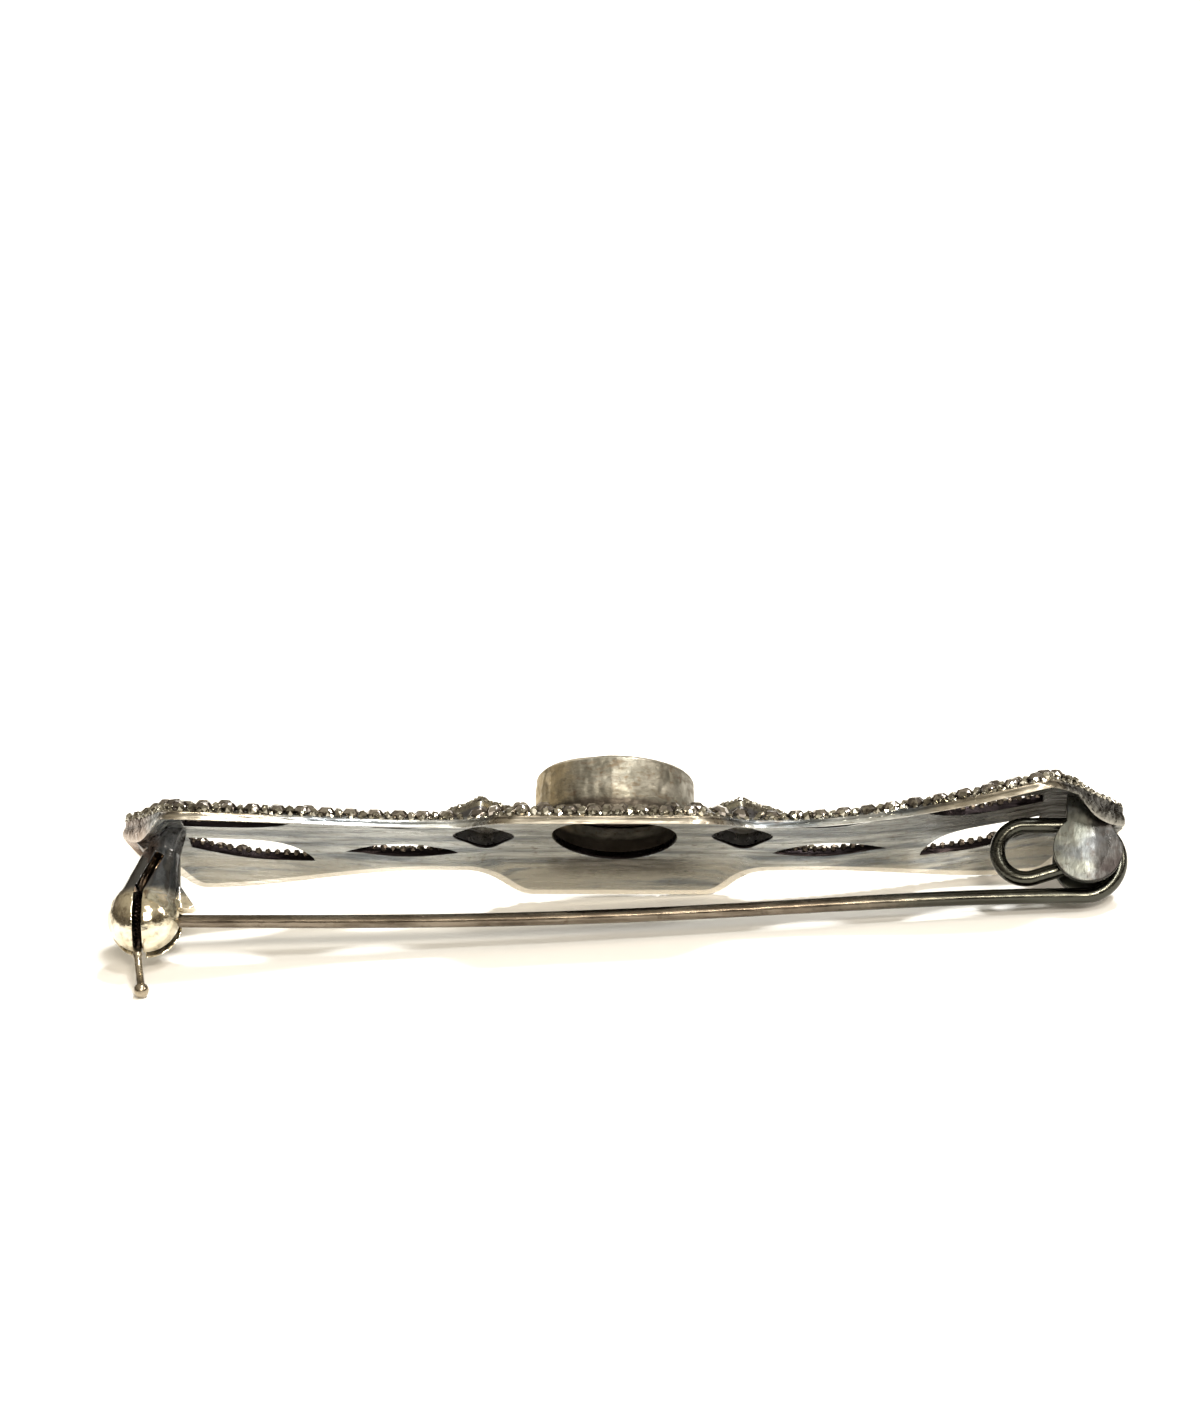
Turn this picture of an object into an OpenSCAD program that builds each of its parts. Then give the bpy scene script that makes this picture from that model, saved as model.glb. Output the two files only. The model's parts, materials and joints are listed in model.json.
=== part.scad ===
// Silver openwork bar brooch with a round mother of pearl stone and marcasites.
// It lies on its back: on the far edge of the middle panel, the catch lever and the hinge.
// Every piece is drawn in the brooch's own frame: X runs along the bar, Z points out of
// the front, and the origin is on the back of the plate under the stone.

/* [Plate] */
// Length of the left arm, from the middle to its pointed end
left_length = 27; // [26.8:0.1:27.2]
// Length of the right arm, from the middle to its pointed end
right_length = 28; // [27.8:0.1:28.2]
// Half width of the middle panel
panel_half_width = 6.6; // [6.4:0.1:6.8]
// Half width of the waist beside the panel
waist_half_width = 3.95; // [3.9:0.05:4.1]
// Half width of the flared ends
end_half_width = 6.4; // [6.3:0.05:6.6]
// Thickness of the plate
plate_t = 0.5; // [0.4:0.05:0.6]
// Drop of the arch, for each square millimetre of distance from the ridge
arch = 0.021; // [0.018:0.001:0.024]
// Slope that the border has beyond the arch's own
border_slope = 0.27; // [0.2:0.01:0.35]
// Width of the sloping border
border_w = 1.7; // [1.4:0.05:1.9]
// How far the left arm bends to the front at 24 mm
left_bend = 0.25; // [0.1:0.05:0.4]
// How far the right arm bends to the front at 24 mm
right_bend = 1.75; // [1.6:0.05:1.9]
// Twist of the right arm, as the slope across it at 24 mm
right_twist = 0.06; // [0:0.01:0.07]
// How far the right point droops
right_droop = 0.6; // [0.4:0.05:0.7]
// How much thicker the plate gets before each point
end_extra_t = 0.9; // [0.6:0.05:1]

/* [Setting] */
// Outer radius of the round collar
collar_r = 4.4; // [4.35:0.05:4.5]
// Height of the collar's rim above the ridge
collar_h = 3.35; // [3.25:0.05:3.45]
// Radius of the open back under the stone
open_back_r = 3.4; // [3.2:0.05:3.5]
// Radius of the mother of pearl stone
pearl_r = 3.96; // [3.9:0.01:3.98]

/* [Marcasites] */
// Girdle radius of the common stones
stone_r = 0.5; // [0.45:0.01:0.52]
// Distance between stones in a row
stone_pitch = 1.3; // [1.25:0.01:1.4]

/* [Catch] */
// Radius of the round catch
catch_r = 2.1; // [2.05:0.05:2.2]
// Radius of the bore that the turning barrel fits
barrel_bore_r = 1.25; // [1.23:0.01:1.28]
// Width of the way through which the pin enters
pin_gap = 1; // [0.95:0.01:1.05]
// Length of the lever from the barrel's axis
lever_l = 4.8; // [4.5:0.1:5]

/* [Pin] */
// Radius of the pin's wire at the hinge
wire_r = 0.43; // [0.4:0.01:0.44]
// Radius of the wire in the catch
point_r = 0.36; // [0.33:0.01:0.37]
// Radius of the round end of each hinge ear
ear_r = 1.9; // [1.85:0.05:1.95]
// Radius of the rivet
rivet_r = 0.36; // [0.34:0.01:0.38]

/* [Hidden] */
silver = "#b9b4a8";
worn_silver = "#8d8272";
$fn = 64;

// The resting pose: turned about X, rolled about Y, then set on the ground over the origin
rest_tilt = 36.47;
rest_roll = 3.61;
rest_shift = [-0.124, 0.852, 5.318];

// Places along the arm, measured from the middle
panel_x = 5.45;
waist_x = 7.5;
panel_round = 0.7;
waist_round = 0.9;
end_round = 0.7;
flare_x = 10;
corner_x = 23.8;
droop_x = 24;
droop_span = 4;
left_droop = -0.15;
thick_from_tip = 1;
thick_span = 1.6;
bend_x = 8;
bend_span = 16;
tip_half_width = 0.3;

// Openings of one quarter of the plate
slot_tips = [[8.7, 2.5], [14.95, 2.6]];
slot_inner_y = 1.35;
slot_outer_y = 2.8;
window_tip = [16.8, 3.7];
window_end_x = 23.5;
window_inner_y = 1.05;
window_end_y = 2.5;
window_bulge = 0.62;

// Raised diamonds beside the collar
diamond_x = 7.1;
diamond_half = [2.5, 2.95];
diamond_wall = 0.42;
diamond_h = 1.3;
diamond_roof = 0.4;

// The seat of the stone, which stands a little off the middle
collar_x = 0.1;
seat_z = 1.65;
seat_gap = 0.03;
collar_wall_r = 4.02;
lip_r = 3.88;
lip_h = 0.3;
pearl_edge_h = 1.15;
pearl_dome_h = 0.5;

// The catch
catch_x = -25.58;
catch_z = -4.82;
slit_x = -25.8;
slit_w = 0.5;
slit_lean = 24;
slit_top_z = -0.95;
slit_depth_y = 0.35;
barrel_r = 1.18;
barrel_half_l = 1.15;
barrel_end_gap = 0.06;
pin_hole_r = 0.7;
flange_r = 1.55;
flange_t = 0.36;
lever_root_r = 0.2;
lever_r = 0.22;
lever_bend_r = 0.27;
lever_bend_at = 2.4;
lever_lean = 10;
lever_knob_r = 0.42;
lever_angle = 20;
neck_lean = 12;
neck_r = [2.02, 1];
neck_l = [3.9, 5.3];
bracket_half_w = 0.75;
bracket = [[-26.45, 0.3], [-26.4, -0.35], [-25.87, -0.91], [-24.15, -0.85], [-23.6, 0.25]];
fin_half_w = 0.5;
fin = [[-24.6, -2.6], [-23.95, -2.6], [-22.85, -4.15], [-23.3, -4.45], [-24.6, -4.45]];

// The hinge and the pin's path
hinge = [25.95, -1.03];
ear_inner_y = 1;
ear_t = 0.5;
ear_left_x = 24.8;
ear_top_x = 26.5;
sweep_r = 2.5;
sweep_half_w = 0.7;
bridge_t = 0.35;
eye_r = 0.85;
eye_bore_r = 0.42;
eye_half_w = 0.88;
pin_low_z = -4.9;
pin_rise = 1.57;
pin_rise_x = -22;
point_x = -27.2;
point_l = 1.3;
wrap_r = 2;
wrap_c = [25.7, pin_low_z + pin_rise + wrap_r];
loop_r = 1.52;
loop_c = [22.57, wrap_c[1] + wrap_r - loop_r];
loop_end_turn = 18;
tail_x = 25.35;

// The plate's outline and surface
function smooth(t) = let (s = min(max(t, 0), 1)) s * s * (3 - 2 * s);
function along(a, b, t) = a + (b - a) * t;
// How far past a corner the place a is, with the corner rounded for r on both sides
function past(a, corner, r) = a > corner + r ? a - corner : pow(max(a - corner + r, 0), 2) / (4 * r);
function half_width(x) = let (a = abs(x),
        narrowing = (panel_half_width - waist_half_width) / (waist_x - panel_x),
        closing = (end_half_width - tip_half_width) / (arm_length(x) - corner_x))
    panel_half_width - narrowing * (past(a, panel_x, panel_round) - past(a, waist_x, waist_round))
    + (end_half_width - waist_half_width) * smooth((a - flare_x) / (corner_x - flare_x))
    - closing * past(a, corner_x, end_round);
function arm_length(x) = x < 0 ? left_length : right_length;
function arm_bend(x) = (x < 0 ? left_bend : right_bend)
    * pow(max(min(abs(x), droop_x) - bend_x, 0) / bend_span, 2)
    - (x < 0 ? left_droop : right_droop) * pow(max(abs(x) - droop_x, 0) / droop_span, 2);
function thickness(x) = let (d = arm_length(x) - abs(x))
    plate_t + end_extra_t * max(1 - pow((d - thick_from_tip) / thick_span, 2), 0);
function fold_y(x) = max(half_width(x) - border_w, 0.4 * half_width(x));
function twist(x) = right_twist * pow(max(min(x, droop_x) - bend_x, 0) / bend_span, 2);
function back_z(x, y) = arm_bend(x) - twist(x) * y - arch * y * y - border_slope * max(abs(y) - fold_y(x), 0);
function front_z(x, y) = back_z(x, y) + plate_t;
function under_z(x, y) = front_z(x, y) - thickness(x);

// Stations along the bar and points across it, for the plate's skin
arm_stations = [23.1, 22, 20.8, 19.4, 18, 16.6, 15.2, 13.8, 12.4, 11.2, 10, 9, 8.4, 7.8, 7.2, 6.6, 6.1,
    5.6, 5.1, 4.75];
end_stations = [26.4, 25.6, 24.9, 24.4, corner_x];
half_stations = concat(end_stations, arm_stations, [2.6]);
stations = concat([-left_length], [for (x = half_stations) -x], [0],
    [for (i = [len(half_stations) - 1:-1:0]) half_stations[i]], [27.2, right_length]);
across = 9;
function cross_y(x, i) = let (f = fold_y(x), w = half_width(x))
    [-w, -f, -0.66 * f, -0.33 * f, 0, 0.33 * f, 0.66 * f, f, w][i];

module plate_skin() {
    n = len(stations);
    points = [for (layer = [0, 1], x = stations, i = [0:across - 1])
        let (y = cross_y(x, i)) [x, y, layer == 0 ? under_z(x, y) : front_z(x, y)]];
    function at(layer, j, i) = (layer * n + j) * across + i;
    front = [for (j = [0:n - 2], i = [0:across - 2], half = [0, 1])
        half == 0 ? [at(1, j, i), at(1, j, i + 1), at(1, j + 1, i)]
        : [at(1, j + 1, i), at(1, j, i + 1), at(1, j + 1, i + 1)]];
    back = [for (j = [0:n - 2], i = [0:across - 2], half = [0, 1])
        half == 0 ? [at(0, j, i), at(0, j + 1, i), at(0, j, i + 1)]
        : [at(0, j + 1, i), at(0, j + 1, i + 1), at(0, j, i + 1)]];
    near_edge = [for (j = [0:n - 2], half = [0, 1])
        half == 0 ? [at(0, j, 0), at(1, j, 0), at(0, j + 1, 0)]
        : [at(1, j, 0), at(1, j + 1, 0), at(0, j + 1, 0)]];
    last = across - 1;
    far_edge = [for (j = [0:n - 2], half = [0, 1])
        half == 0 ? [at(0, j, last), at(0, j + 1, last), at(1, j, last)]
        : [at(1, j, last), at(0, j + 1, last), at(1, j + 1, last)]];
    left_end = [for (i = [0:across - 2], half = [0, 1])
        half == 0 ? [at(0, 0, i), at(0, 0, i + 1), at(1, 0, i)]
        : [at(1, 0, i), at(0, 0, i + 1), at(1, 0, i + 1)]];
    right_end = [for (i = [0:across - 2], half = [0, 1])
        half == 0 ? [at(0, n - 1, i), at(1, n - 1, i), at(0, n - 1, i + 1)]
        : [at(1, n - 1, i), at(1, n - 1, i + 1), at(0, n - 1, i + 1)]];
    polyhedron(points, concat(front, back, near_edge, far_edge, left_end, right_end));
}

// A long lens between the rib and the border of the arm
function slot_outline() = let (a = slot_tips[0], b = slot_tips[1], n = 8)
    concat([for (i = [0:n]) let (t = i / n) [along(a[0], b[0], t), along(a[1], b[1], t)
            - (a[1] - slot_inner_y) * sin(180 * t)]],
        [for (i = [n - 1:-1:1]) let (t = i / n) [along(a[0], b[0], t), along(a[1], b[1], t)
            + (slot_outer_y - a[1]) * sin(180 * t)]]);

// A leaf that bends in from its point towards the rib
function window_outline() = let (a = window_tip, n = 6)
    concat([for (i = [0:n]) let (t = pow(i / n, 1.5)) [along(a[0], window_end_x, t),
            window_inner_y + (a[1] - window_inner_y) * pow(1 - t, 6)]],
        [for (i = [n:-1:1]) let (t = i / n) [along(a[0], window_end_x, t),
            along(a[1], window_end_y, t) + window_bulge * sin(180 * t)]]);

module openings() {
    for (sx = [-1, 1], sy = [-1, 1]) {
        translate([0, 0, -3]) linear_extrude(9) {
            polygon([for (p = slot_outline()) [sx * p[0], sy * p[1]]]);
            polygon([for (p = window_outline()) [sx * p[0], sy * p[1]]]);
        }
    }
}

function diamond(inset) = let (k = inset / sin(atan(diamond_half[1] / diamond_half[0])))
    [[diamond_half[0] - k, 0], [0, (diamond_half[0] - k) * diamond_half[1] / diamond_half[0]],
     [k - diamond_half[0], 0], [0, (k - diamond_half[0]) * diamond_half[1] / diamond_half[0]]];

module diamonds() {
    for (sx = [-1, 1])
        translate([sx * diamond_x, 0, -0.1]) linear_extrude(diamond_h + 0.1) polygon(diamond(0));
}

module diamond_hollows() {
    for (sx = [-1, 1])
        translate([sx * diamond_x, 0, -1]) linear_extrude(diamond_h - diamond_roof + 1)
            polygon(diamond(diamond_wall));
}

// The collar, its ledge under the stone and its lip over it
module collar() {
    translate([collar_x, 0, 0])
        rotate_extrude() polygon([[open_back_r, 0.02], [collar_r, 0.02], [collar_r, collar_h - lip_h],
        [collar_r - 0.14, collar_h], [lip_r, collar_h], [collar_wall_r, collar_h - lip_h],
        [collar_wall_r, seat_z], [open_back_r, seat_z]]);
}

// The round catch on its neck: a bore for the barrel, a slit for the lever, a way in for the pin
module catch_housing() {
    difference() {
        union() {
            translate([catch_x, 0, catch_z]) {
                sphere(catch_r);
                rotate([0, neck_lean, 0]) {
                    cylinder(h = neck_l[0], r1 = neck_r[0], r2 = neck_r[1]);
                    cylinder(h = neck_l[1], r = neck_r[1]);
                }
            }
            translate([0, bracket_half_w, 0]) rotate([90, 0, 0]) linear_extrude(2 * bracket_half_w) polygon(bracket);
            translate([0, fin_half_w, 0]) rotate([90, 0, 0]) linear_extrude(2 * fin_half_w) polygon(fin);
        }
        translate([slit_x, 0, catch_z]) rotate([0, 90, 0]) {
            cylinder(h = 2 * (barrel_half_l + barrel_end_gap), r = barrel_bore_r, center = true);
            cylinder(h = 4 * catch_r, r = pin_hole_r, center = true);
        }
        translate([catch_x - 2 * catch_r, -pin_gap / 2, catch_z - 2 * catch_r])
            cube([4 * catch_r, pin_gap, 2 * catch_r]);
        translate([slit_x - slit_w / 2, -2 * catch_r, catch_z - 2 * catch_r])
            cube([slit_w, 4 * catch_r, 2 * catch_r + flange_r + barrel_end_gap]);
        translate([slit_x - slit_w / 2, -2 * catch_r, catch_z + flange_r - slit_w / 2]) rotate([0, slit_lean, 0])
            cube([slit_w, 2 * catch_r + slit_depth_y, (slit_top_z - catch_z - flange_r) / cos(slit_lean)]);
    }
}

// Two ears with round ends, the strip that joins them under the plate, and the rivet
module hinge_ears() {
    top_l = back_z(ear_left_x, 0);
    top_r = back_z(ear_top_x, 0);
    for (y = [-ear_inner_y, ear_inner_y + ear_t])
        translate([0, y, 0]) rotate([90, 0, 0]) linear_extrude(ear_t) {
            translate(hinge) circle(ear_r);
            polygon([[ear_left_x, hinge[1]], [hinge[0] + ear_r, hinge[1]], [hinge[0] + ear_r, hinge[1] + 0.3],
                [ear_top_x, top_r], [ear_top_x, top_r + 0.2], [ear_left_x, top_l + 0.2]]);
        }
    translate([0, ear_inner_y + 0.1, 0]) rotate([90, 0, 0]) linear_extrude(2 * ear_inner_y + 0.2)
        polygon([[ear_left_x, top_l - bridge_t], [ear_top_x, top_r - bridge_t], [ear_top_x, top_r + 0.2],
            [ear_left_x, top_l + 0.2]]);
    translate([hinge[0], 0, hinge[1]]) rotate([90, 0, 0])
        cylinder(h = 2 * (ear_inner_y + ear_t) + 0.06, r = rivet_r, center = true);
}

module silver_frame() {
    color(silver) {
        difference() {
            union() {
                plate_skin();
                diamonds();
            }
            openings();
            diamond_hollows();
            translate([collar_x, 0, -1]) cylinder(h = 3, r = open_back_r);
            translate([hinge[0], 0, hinge[1]]) rotate([90, 0, 0])
                cylinder(h = 2 * sweep_half_w, r = sweep_r, center = true);
        }
        collar();
        catch_housing();
        hinge_ears();
    }
}

// A low domed round stone that rests on the ledge
module mother_of_pearl() {
    n = 8;
    dome_r = (pearl_r * pearl_r + pearl_dome_h * pearl_dome_h) / (2 * pearl_dome_h);
    turn = asin(pearl_r / dome_r);
    edge_z = seat_z + seat_gap + pearl_edge_h;
    color("#e6e2dc") translate([collar_x, 0, 0])
        rotate_extrude() polygon(concat([[0, seat_z + seat_gap], [pearl_r, seat_z + seat_gap]],
        [for (i = [0:n]) let (a = turn * (1 - i / n)) [dome_r * sin(a), edge_z + pearl_dome_h
            - dome_r * (1 - cos(a))]]));
}

// One cut stone on the plate: eight girdle sides, eight crown facets and a table
function unit(v) = v / norm(v);
module cut_stone(x, y, r, lift) {
    d = 0.05;
    zx = (front_z(x + d, y) - front_z(x - d, y)) / (2 * d);
    zy = (front_z(x, y + d) - front_z(x, y - d)) / (2 * d);
    up = lift > 0 ? [0, 0, 1] : unit([-zx, -zy, 1]);
    u = unit(cross([0, 1, 0], up));
    v = cross(up, u);
    base = [x, y, (lift > 0 ? lift : front_z(x, y))] + seat_gap * up;
    levels = [[1, 0], [1, 0.32], [0.56, 0.78]];
    points = [for (l = levels, k = [0:7])
        base + r * l[0] * (cos(45 * k) * u + sin(45 * k) * v) + r * l[1] * up];
    sides = [for (row = [0, 1], k = [0:7]) [8 * row + k, 8 * row + 8 + k,
        8 * row + 8 + (k + 1) % 8, 8 * row + (k + 1) % 8]];
    polyhedron(points, concat([[for (k = [0:7]) k], [for (k = [7:-1:0]) 16 + k]], sides));
}

// Where the stones sit on one quarter of the plate, as rows of [x, y]
row_inset = 0.7;
panel_row = [for (i = [0:3]) let (x = (i + 0.5) * stone_pitch) [x, panel_half_width - row_inset]];
chamfer_row = [for (t = [0.3, 0.8]) let (x = along(panel_x, waist_x, t)) [x, half_width(x) - row_inset - 0.15]];
arm_row = [for (i = [0:11]) let (x = 8.85 + i * stone_pitch) [x, half_width(x) - row_inset]];
end_row = [for (i = [0:3]) let (t = (i + 0.75) / 5) [along(corner_x, left_length, t) - 0.75,
    along(end_half_width, tip_half_width, t) - 0.5]];
web_stones = [[16.3, 1.5], [16.5, 2.9]];
field_stones = [[20.9, 4.15], [22.1, 3.95], [23.1, 3.35]];
corner_stones = [[3.45, 4.55], [4.75, 4.55], [5, 3.25]];
ring_stones = [for (i = [0:3]) let (a = 10 * i) [4.93 * sin(a), 4.93 * cos(a)]];
small_r = 0.38;

module marcasites() {
    color("#3b3833") {
        for (sx = [-1, 1]) {
            for (sy = [-1, 1]) {
                for (p = concat(panel_row, chamfer_row, arm_row, end_row, web_stones, field_stones, corner_stones))
                    cut_stone(sx * p[0], sy * p[1], stone_r, 0);
                for (i = [(sx > 0 ? 0 : 1):3])
                    cut_stone(sx * ring_stones[i][0], sy * ring_stones[i][1], small_r, 0);
                cut_stone(sx * diamond_x, sy * 1.5, stone_r, diamond_h);
                cut_stone(sx * diamond_x + sy * 1.25, 0, stone_r, diamond_h);
            }
            for (i = [0:12]) cut_stone(sx * (10.4 + i * stone_pitch), 0, stone_r, 0);
            cut_stone(sx * diamond_x, 0, 0.62, diamond_h);
        }
    }
}

// A barrel with an open side, its flange in the slit and the lever on it
module catch_rotor() {
    color(worn_silver) translate([slit_x, 0, catch_z]) difference() {
        union() {
            rotate([0, 90, 0]) cylinder(h = 2 * barrel_half_l, r = barrel_r, center = true);
            rotate([0, 90, 0]) cylinder(h = flange_t, r = flange_r, center = true);
            rotate([180 - lever_angle, 0, 0]) {
                translate([0, 0, 1]) cylinder(h = lever_bend_at - 1, r = lever_root_r);
                translate([0, 0, lever_bend_at]) rotate([0, lever_lean, 0]) {
                    sphere(lever_bend_r);
                    cylinder(h = lever_l - lever_bend_at, r = lever_r);
                    translate([0, 0, lever_l - lever_bend_at]) sphere(lever_knob_r);
                }
            }
        }
        rotate([0, 90, 0]) cylinder(h = 4 * barrel_half_l, r = pin_hole_r, center = true);
        translate([-2 * barrel_half_l, -pin_gap / 2, -2.2]) cube([4 * barrel_half_l, pin_gap, 2.2]);
    }
}

// The pin's path in the XZ plane, as points of [x, z, wire radius]
function pin_z(x) = let (t = min(max((x - pin_rise_x) / (wrap_c[0] - pin_rise_x), 0), 1))
    pin_low_z + pin_rise * (1 - cos(180 * pow(t, 1.5))) / 2;
function pin_r(x) = x < point_x + point_l ? along(0.1, point_r, (x - point_x) / point_l)
    : along(point_r, wire_r, (x - point_x) / (wrap_c[0] - point_x));
stem = [for (i = [0:23]) let (x = i < 2 ? point_x + i * point_l : along(point_x + point_l, wrap_c[0],
    (i - 1) / 23)) [x, pin_z(x), pin_r(x)]];
wrap = [for (a = [-90:18:90]) [wrap_c[0] + wrap_r * cos(a), wrap_c[1] + wrap_r * sin(a), wire_r]];
loop = [for (a = [90:18:270 + loop_end_turn]) [loop_c[0] + loop_r * cos(a), loop_c[1] + loop_r * sin(a), wire_r]];
loop_end = loop[len(loop) - 1];
tail = [[tail_x, loop_end[1] + (tail_x - loop_end[0]) * tan(loop_end_turn), wire_r]];
wire_path = concat(stem, wrap, loop, tail);

module swept_wire(path, sides) {
    n = len(path);
    function heading(i) = let (a = path[max(i - 1, 0)], b = path[min(i + 1, n - 1)])
        unit([b[0] - a[0], b[1] - a[1]]);
    points = [for (i = [0:n - 1], k = [0:sides - 1])
        let (d = heading(i), c = 360 * k / sides, r = path[i][2])
        [path[i][0] - d[1] * r * cos(c), r * sin(c), path[i][1] + d[0] * r * cos(c)]];
    skin = [for (i = [0:n - 2], k = [0:sides - 1], half = [0, 1])
        let (a = i * sides + k, b = i * sides + (k + 1) % sides)
        half == 0 ? [a, b, a + sides] : [b, b + sides, a + sides]];
    polyhedron(points, concat([[for (k = [sides - 1:-1:0]) k]], skin,
        [[for (k = [0:sides - 1]) (n - 1) * sides + k]]));
}

// The pin and its spring are one wire, which ends in an eye on the rivet
module pin_stem() {
    color(worn_silver) difference() {
        union() {
            swept_wire(wire_path, 12);
            translate([hinge[0], 0, hinge[1]]) rotate([90, 0, 0])
                cylinder(h = 2 * eye_half_w, r = eye_r, center = true);
        }
        translate([hinge[0], 0, hinge[1]]) rotate([90, 0, 0])
            cylinder(h = 4 * eye_half_w, r = eye_bore_r, center = true);
    }
}

module at_rest() {
    translate(rest_shift) rotate([0, rest_roll, 0]) rotate([-rest_tilt, 0, 0]) children();
}

at_rest() silver_frame();
at_rest() mother_of_pearl();
at_rest() marcasites();
at_rest() catch_rotor();
at_rest() pin_stem();
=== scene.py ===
import json
import math

import bmesh
import bpy
from mathutils import Matrix, Vector
from mathutils.geometry import delaunay_2d_cdt
from mathutils.kdtree import KDTree


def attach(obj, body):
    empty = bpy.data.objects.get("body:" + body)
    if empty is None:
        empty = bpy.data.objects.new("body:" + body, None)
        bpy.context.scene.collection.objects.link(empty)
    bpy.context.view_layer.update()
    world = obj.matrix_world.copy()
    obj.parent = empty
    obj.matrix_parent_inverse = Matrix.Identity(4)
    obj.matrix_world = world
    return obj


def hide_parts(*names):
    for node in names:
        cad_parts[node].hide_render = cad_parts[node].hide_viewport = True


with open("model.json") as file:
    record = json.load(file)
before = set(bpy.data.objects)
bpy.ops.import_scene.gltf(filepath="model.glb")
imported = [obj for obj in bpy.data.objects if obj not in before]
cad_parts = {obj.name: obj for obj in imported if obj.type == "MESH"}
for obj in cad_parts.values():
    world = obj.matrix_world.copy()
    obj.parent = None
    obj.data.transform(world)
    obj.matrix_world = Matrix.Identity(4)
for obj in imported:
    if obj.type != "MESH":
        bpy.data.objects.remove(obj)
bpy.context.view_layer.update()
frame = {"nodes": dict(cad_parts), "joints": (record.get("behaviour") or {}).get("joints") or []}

# The brooch's own frame
# X runs along the bar, Z points out of the front, and the origin is on the back of the plate under
# the stone, all in millimetres. The brooch lies tilted, and its two joints say how.
MM = 0.001
HINGE_X, HINGE_Z = 25.95, -1.03

joints = {joint["name"]: joint for joint in frame["joints"]}
along_bar = Vector(joints["catch_lever"]["axis"]).normalized()
across_bar = -Vector(joints["pin_hinge"]["axis"]).normalized()
turned = Matrix((along_bar, across_bar, along_bar.cross(across_bar))).transposed()
rivet_place = Vector(joints["pin_hinge"]["pos_m"])
plate_origin = rivet_place - turned @ Vector((HINGE_X, 0, HINGE_Z)) * MM
BROOCH_TO_ROW = Matrix.Translation(plate_origin) @ turned.to_4x4() @ Matrix.Scale(MM, 4)

# The camera
# It stands 320 mm away, below the plane of the plate and almost square to the bar. The plate's origin
# shows at one pixel of the photograph, which has 18.24 pixels to the millimetre there.
PHOTO_SIZE = (1200, 1425)
ORIGIN_PIXEL = (612.65, 836.59)
PIXELS_PER_MM = 18.24
DISTANCE = 320
BELOW_PLATE, YAW, ROLL = math.radians(18.5), math.radians(-3.75), math.radians(1.2)
SENSOR = 36

camera_data = bpy.data.cameras.new("camera")
camera_data.sensor_width = SENSOR
camera_data.lens = DISTANCE * PIXELS_PER_MM * SENSOR / max(PHOTO_SIZE)
camera_data.clip_start = 0.01
camera = bpy.data.objects.new("camera", camera_data)
bpy.context.scene.collection.objects.link(camera)
bpy.context.scene.camera = camera

facing = Matrix(((1, 0, 0), (0, 0, -1), (0, 1, 0)))
seen = (Matrix.Rotation(ROLL, 3, "Z") @ Matrix.Rotation(-BELOW_PLATE, 3, "X") @ facing
        @ Matrix.Rotation(YAW, 3, "Z"))
off_centre = [(ORIGIN_PIXEL[i] - PHOTO_SIZE[i] / 2) / PIXELS_PER_MM for i in (0, 1)]
eye = -(seen.transposed() @ Vector((*off_centre, DISTANCE)))
right, down, forward = (turned @ Vector(axis) for axis in seen)
pose = Matrix((right, -down, -forward)).transposed().to_4x4()
pose.translation = BROOCH_TO_ROW @ eye
camera.matrix_world = pose


# The surface it lies on
# White matt card, lit so brightly that it burns out to white away from the shadows.
def add(tree, kind, links=None, **settings):
    """Adds one node to a tree, with its settings, and its inputs as numbers or as the sockets they read."""
    made = tree.nodes.new(kind)
    for name, value in settings.items():
        setattr(made, name, value)
    for socket, value in (links or {}).items():
        if isinstance(value, bpy.types.NodeSocket):
            tree.links.new(value, made.inputs[socket])
        else:
            made.inputs[socket].default_value = value
    return made


def linear(colour):
    """The linear red, green, blue and alpha of an sRGB hex colour."""
    parts = [int(colour[i:i + 2], 16) / 255 for i in (1, 3, 5)]
    return (*[p / 12.92 if p <= 0.04045 else ((p + 0.055) / 1.055) ** 2.4 for p in parts], 1)


def new_material(name):
    """An empty material with its output and its main shader."""
    made = bpy.data.materials.new(name)
    made.use_nodes = True
    tree = made.node_tree
    tree.nodes.clear()
    shader = add(tree, "ShaderNodeBsdfPrincipled")
    output = add(tree, "ShaderNodeOutputMaterial")
    tree.links.new(shader.outputs["BSDF"], output.inputs["Surface"])
    return made, tree, shader


FLOOR_HALF = 1.6
card, _, card_shader = new_material("white_matt_card")
card_shader.inputs["Base Color"].default_value = linear("#f4f3f1")
card_shader.inputs["Roughness"].default_value = 0.9
card_shader.inputs["Specular IOR Level"].default_value = 0.1
floor_mesh = bpy.data.meshes.new("floor")
floor_mesh.from_pydata([(x * FLOOR_HALF, y * FLOOR_HALF, 0) for x, y in ((-1, -1), (1, -1), (1, 1), (-1, 1))],
                       [], [(0, 1, 2, 3)])
floor_mesh.materials.append(card)
floor = bpy.data.objects.new("floor", floor_mesh)
bpy.context.scene.collection.objects.link(floor)


# The light
# A lamp overhead that casts the shadows, one in front and to the right whose light the edges catch, a lower
# and warmer one that lights the surface under the plate, and a weak one at the right. The silver mirrors a
# dim, brownish room.
def soft_lamp(name, place, size, power, colour):
    """An oblong lamp at a place in metres, turned to the brooch, with its power in watts."""
    data = bpy.data.lights.new(name, "AREA")
    data.shape = "RECTANGLE"
    data.size, data.size_y = size
    data.energy = power
    data.color = linear(colour)[:3]
    lamp = bpy.data.objects.new(name, data)
    bpy.context.scene.collection.objects.link(lamp)
    lamp.location = place
    lamp.rotation_mode = "QUATERNION"
    lamp.rotation_quaternion = (-Vector(place)).to_track_quat("-Z", "Y")


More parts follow.
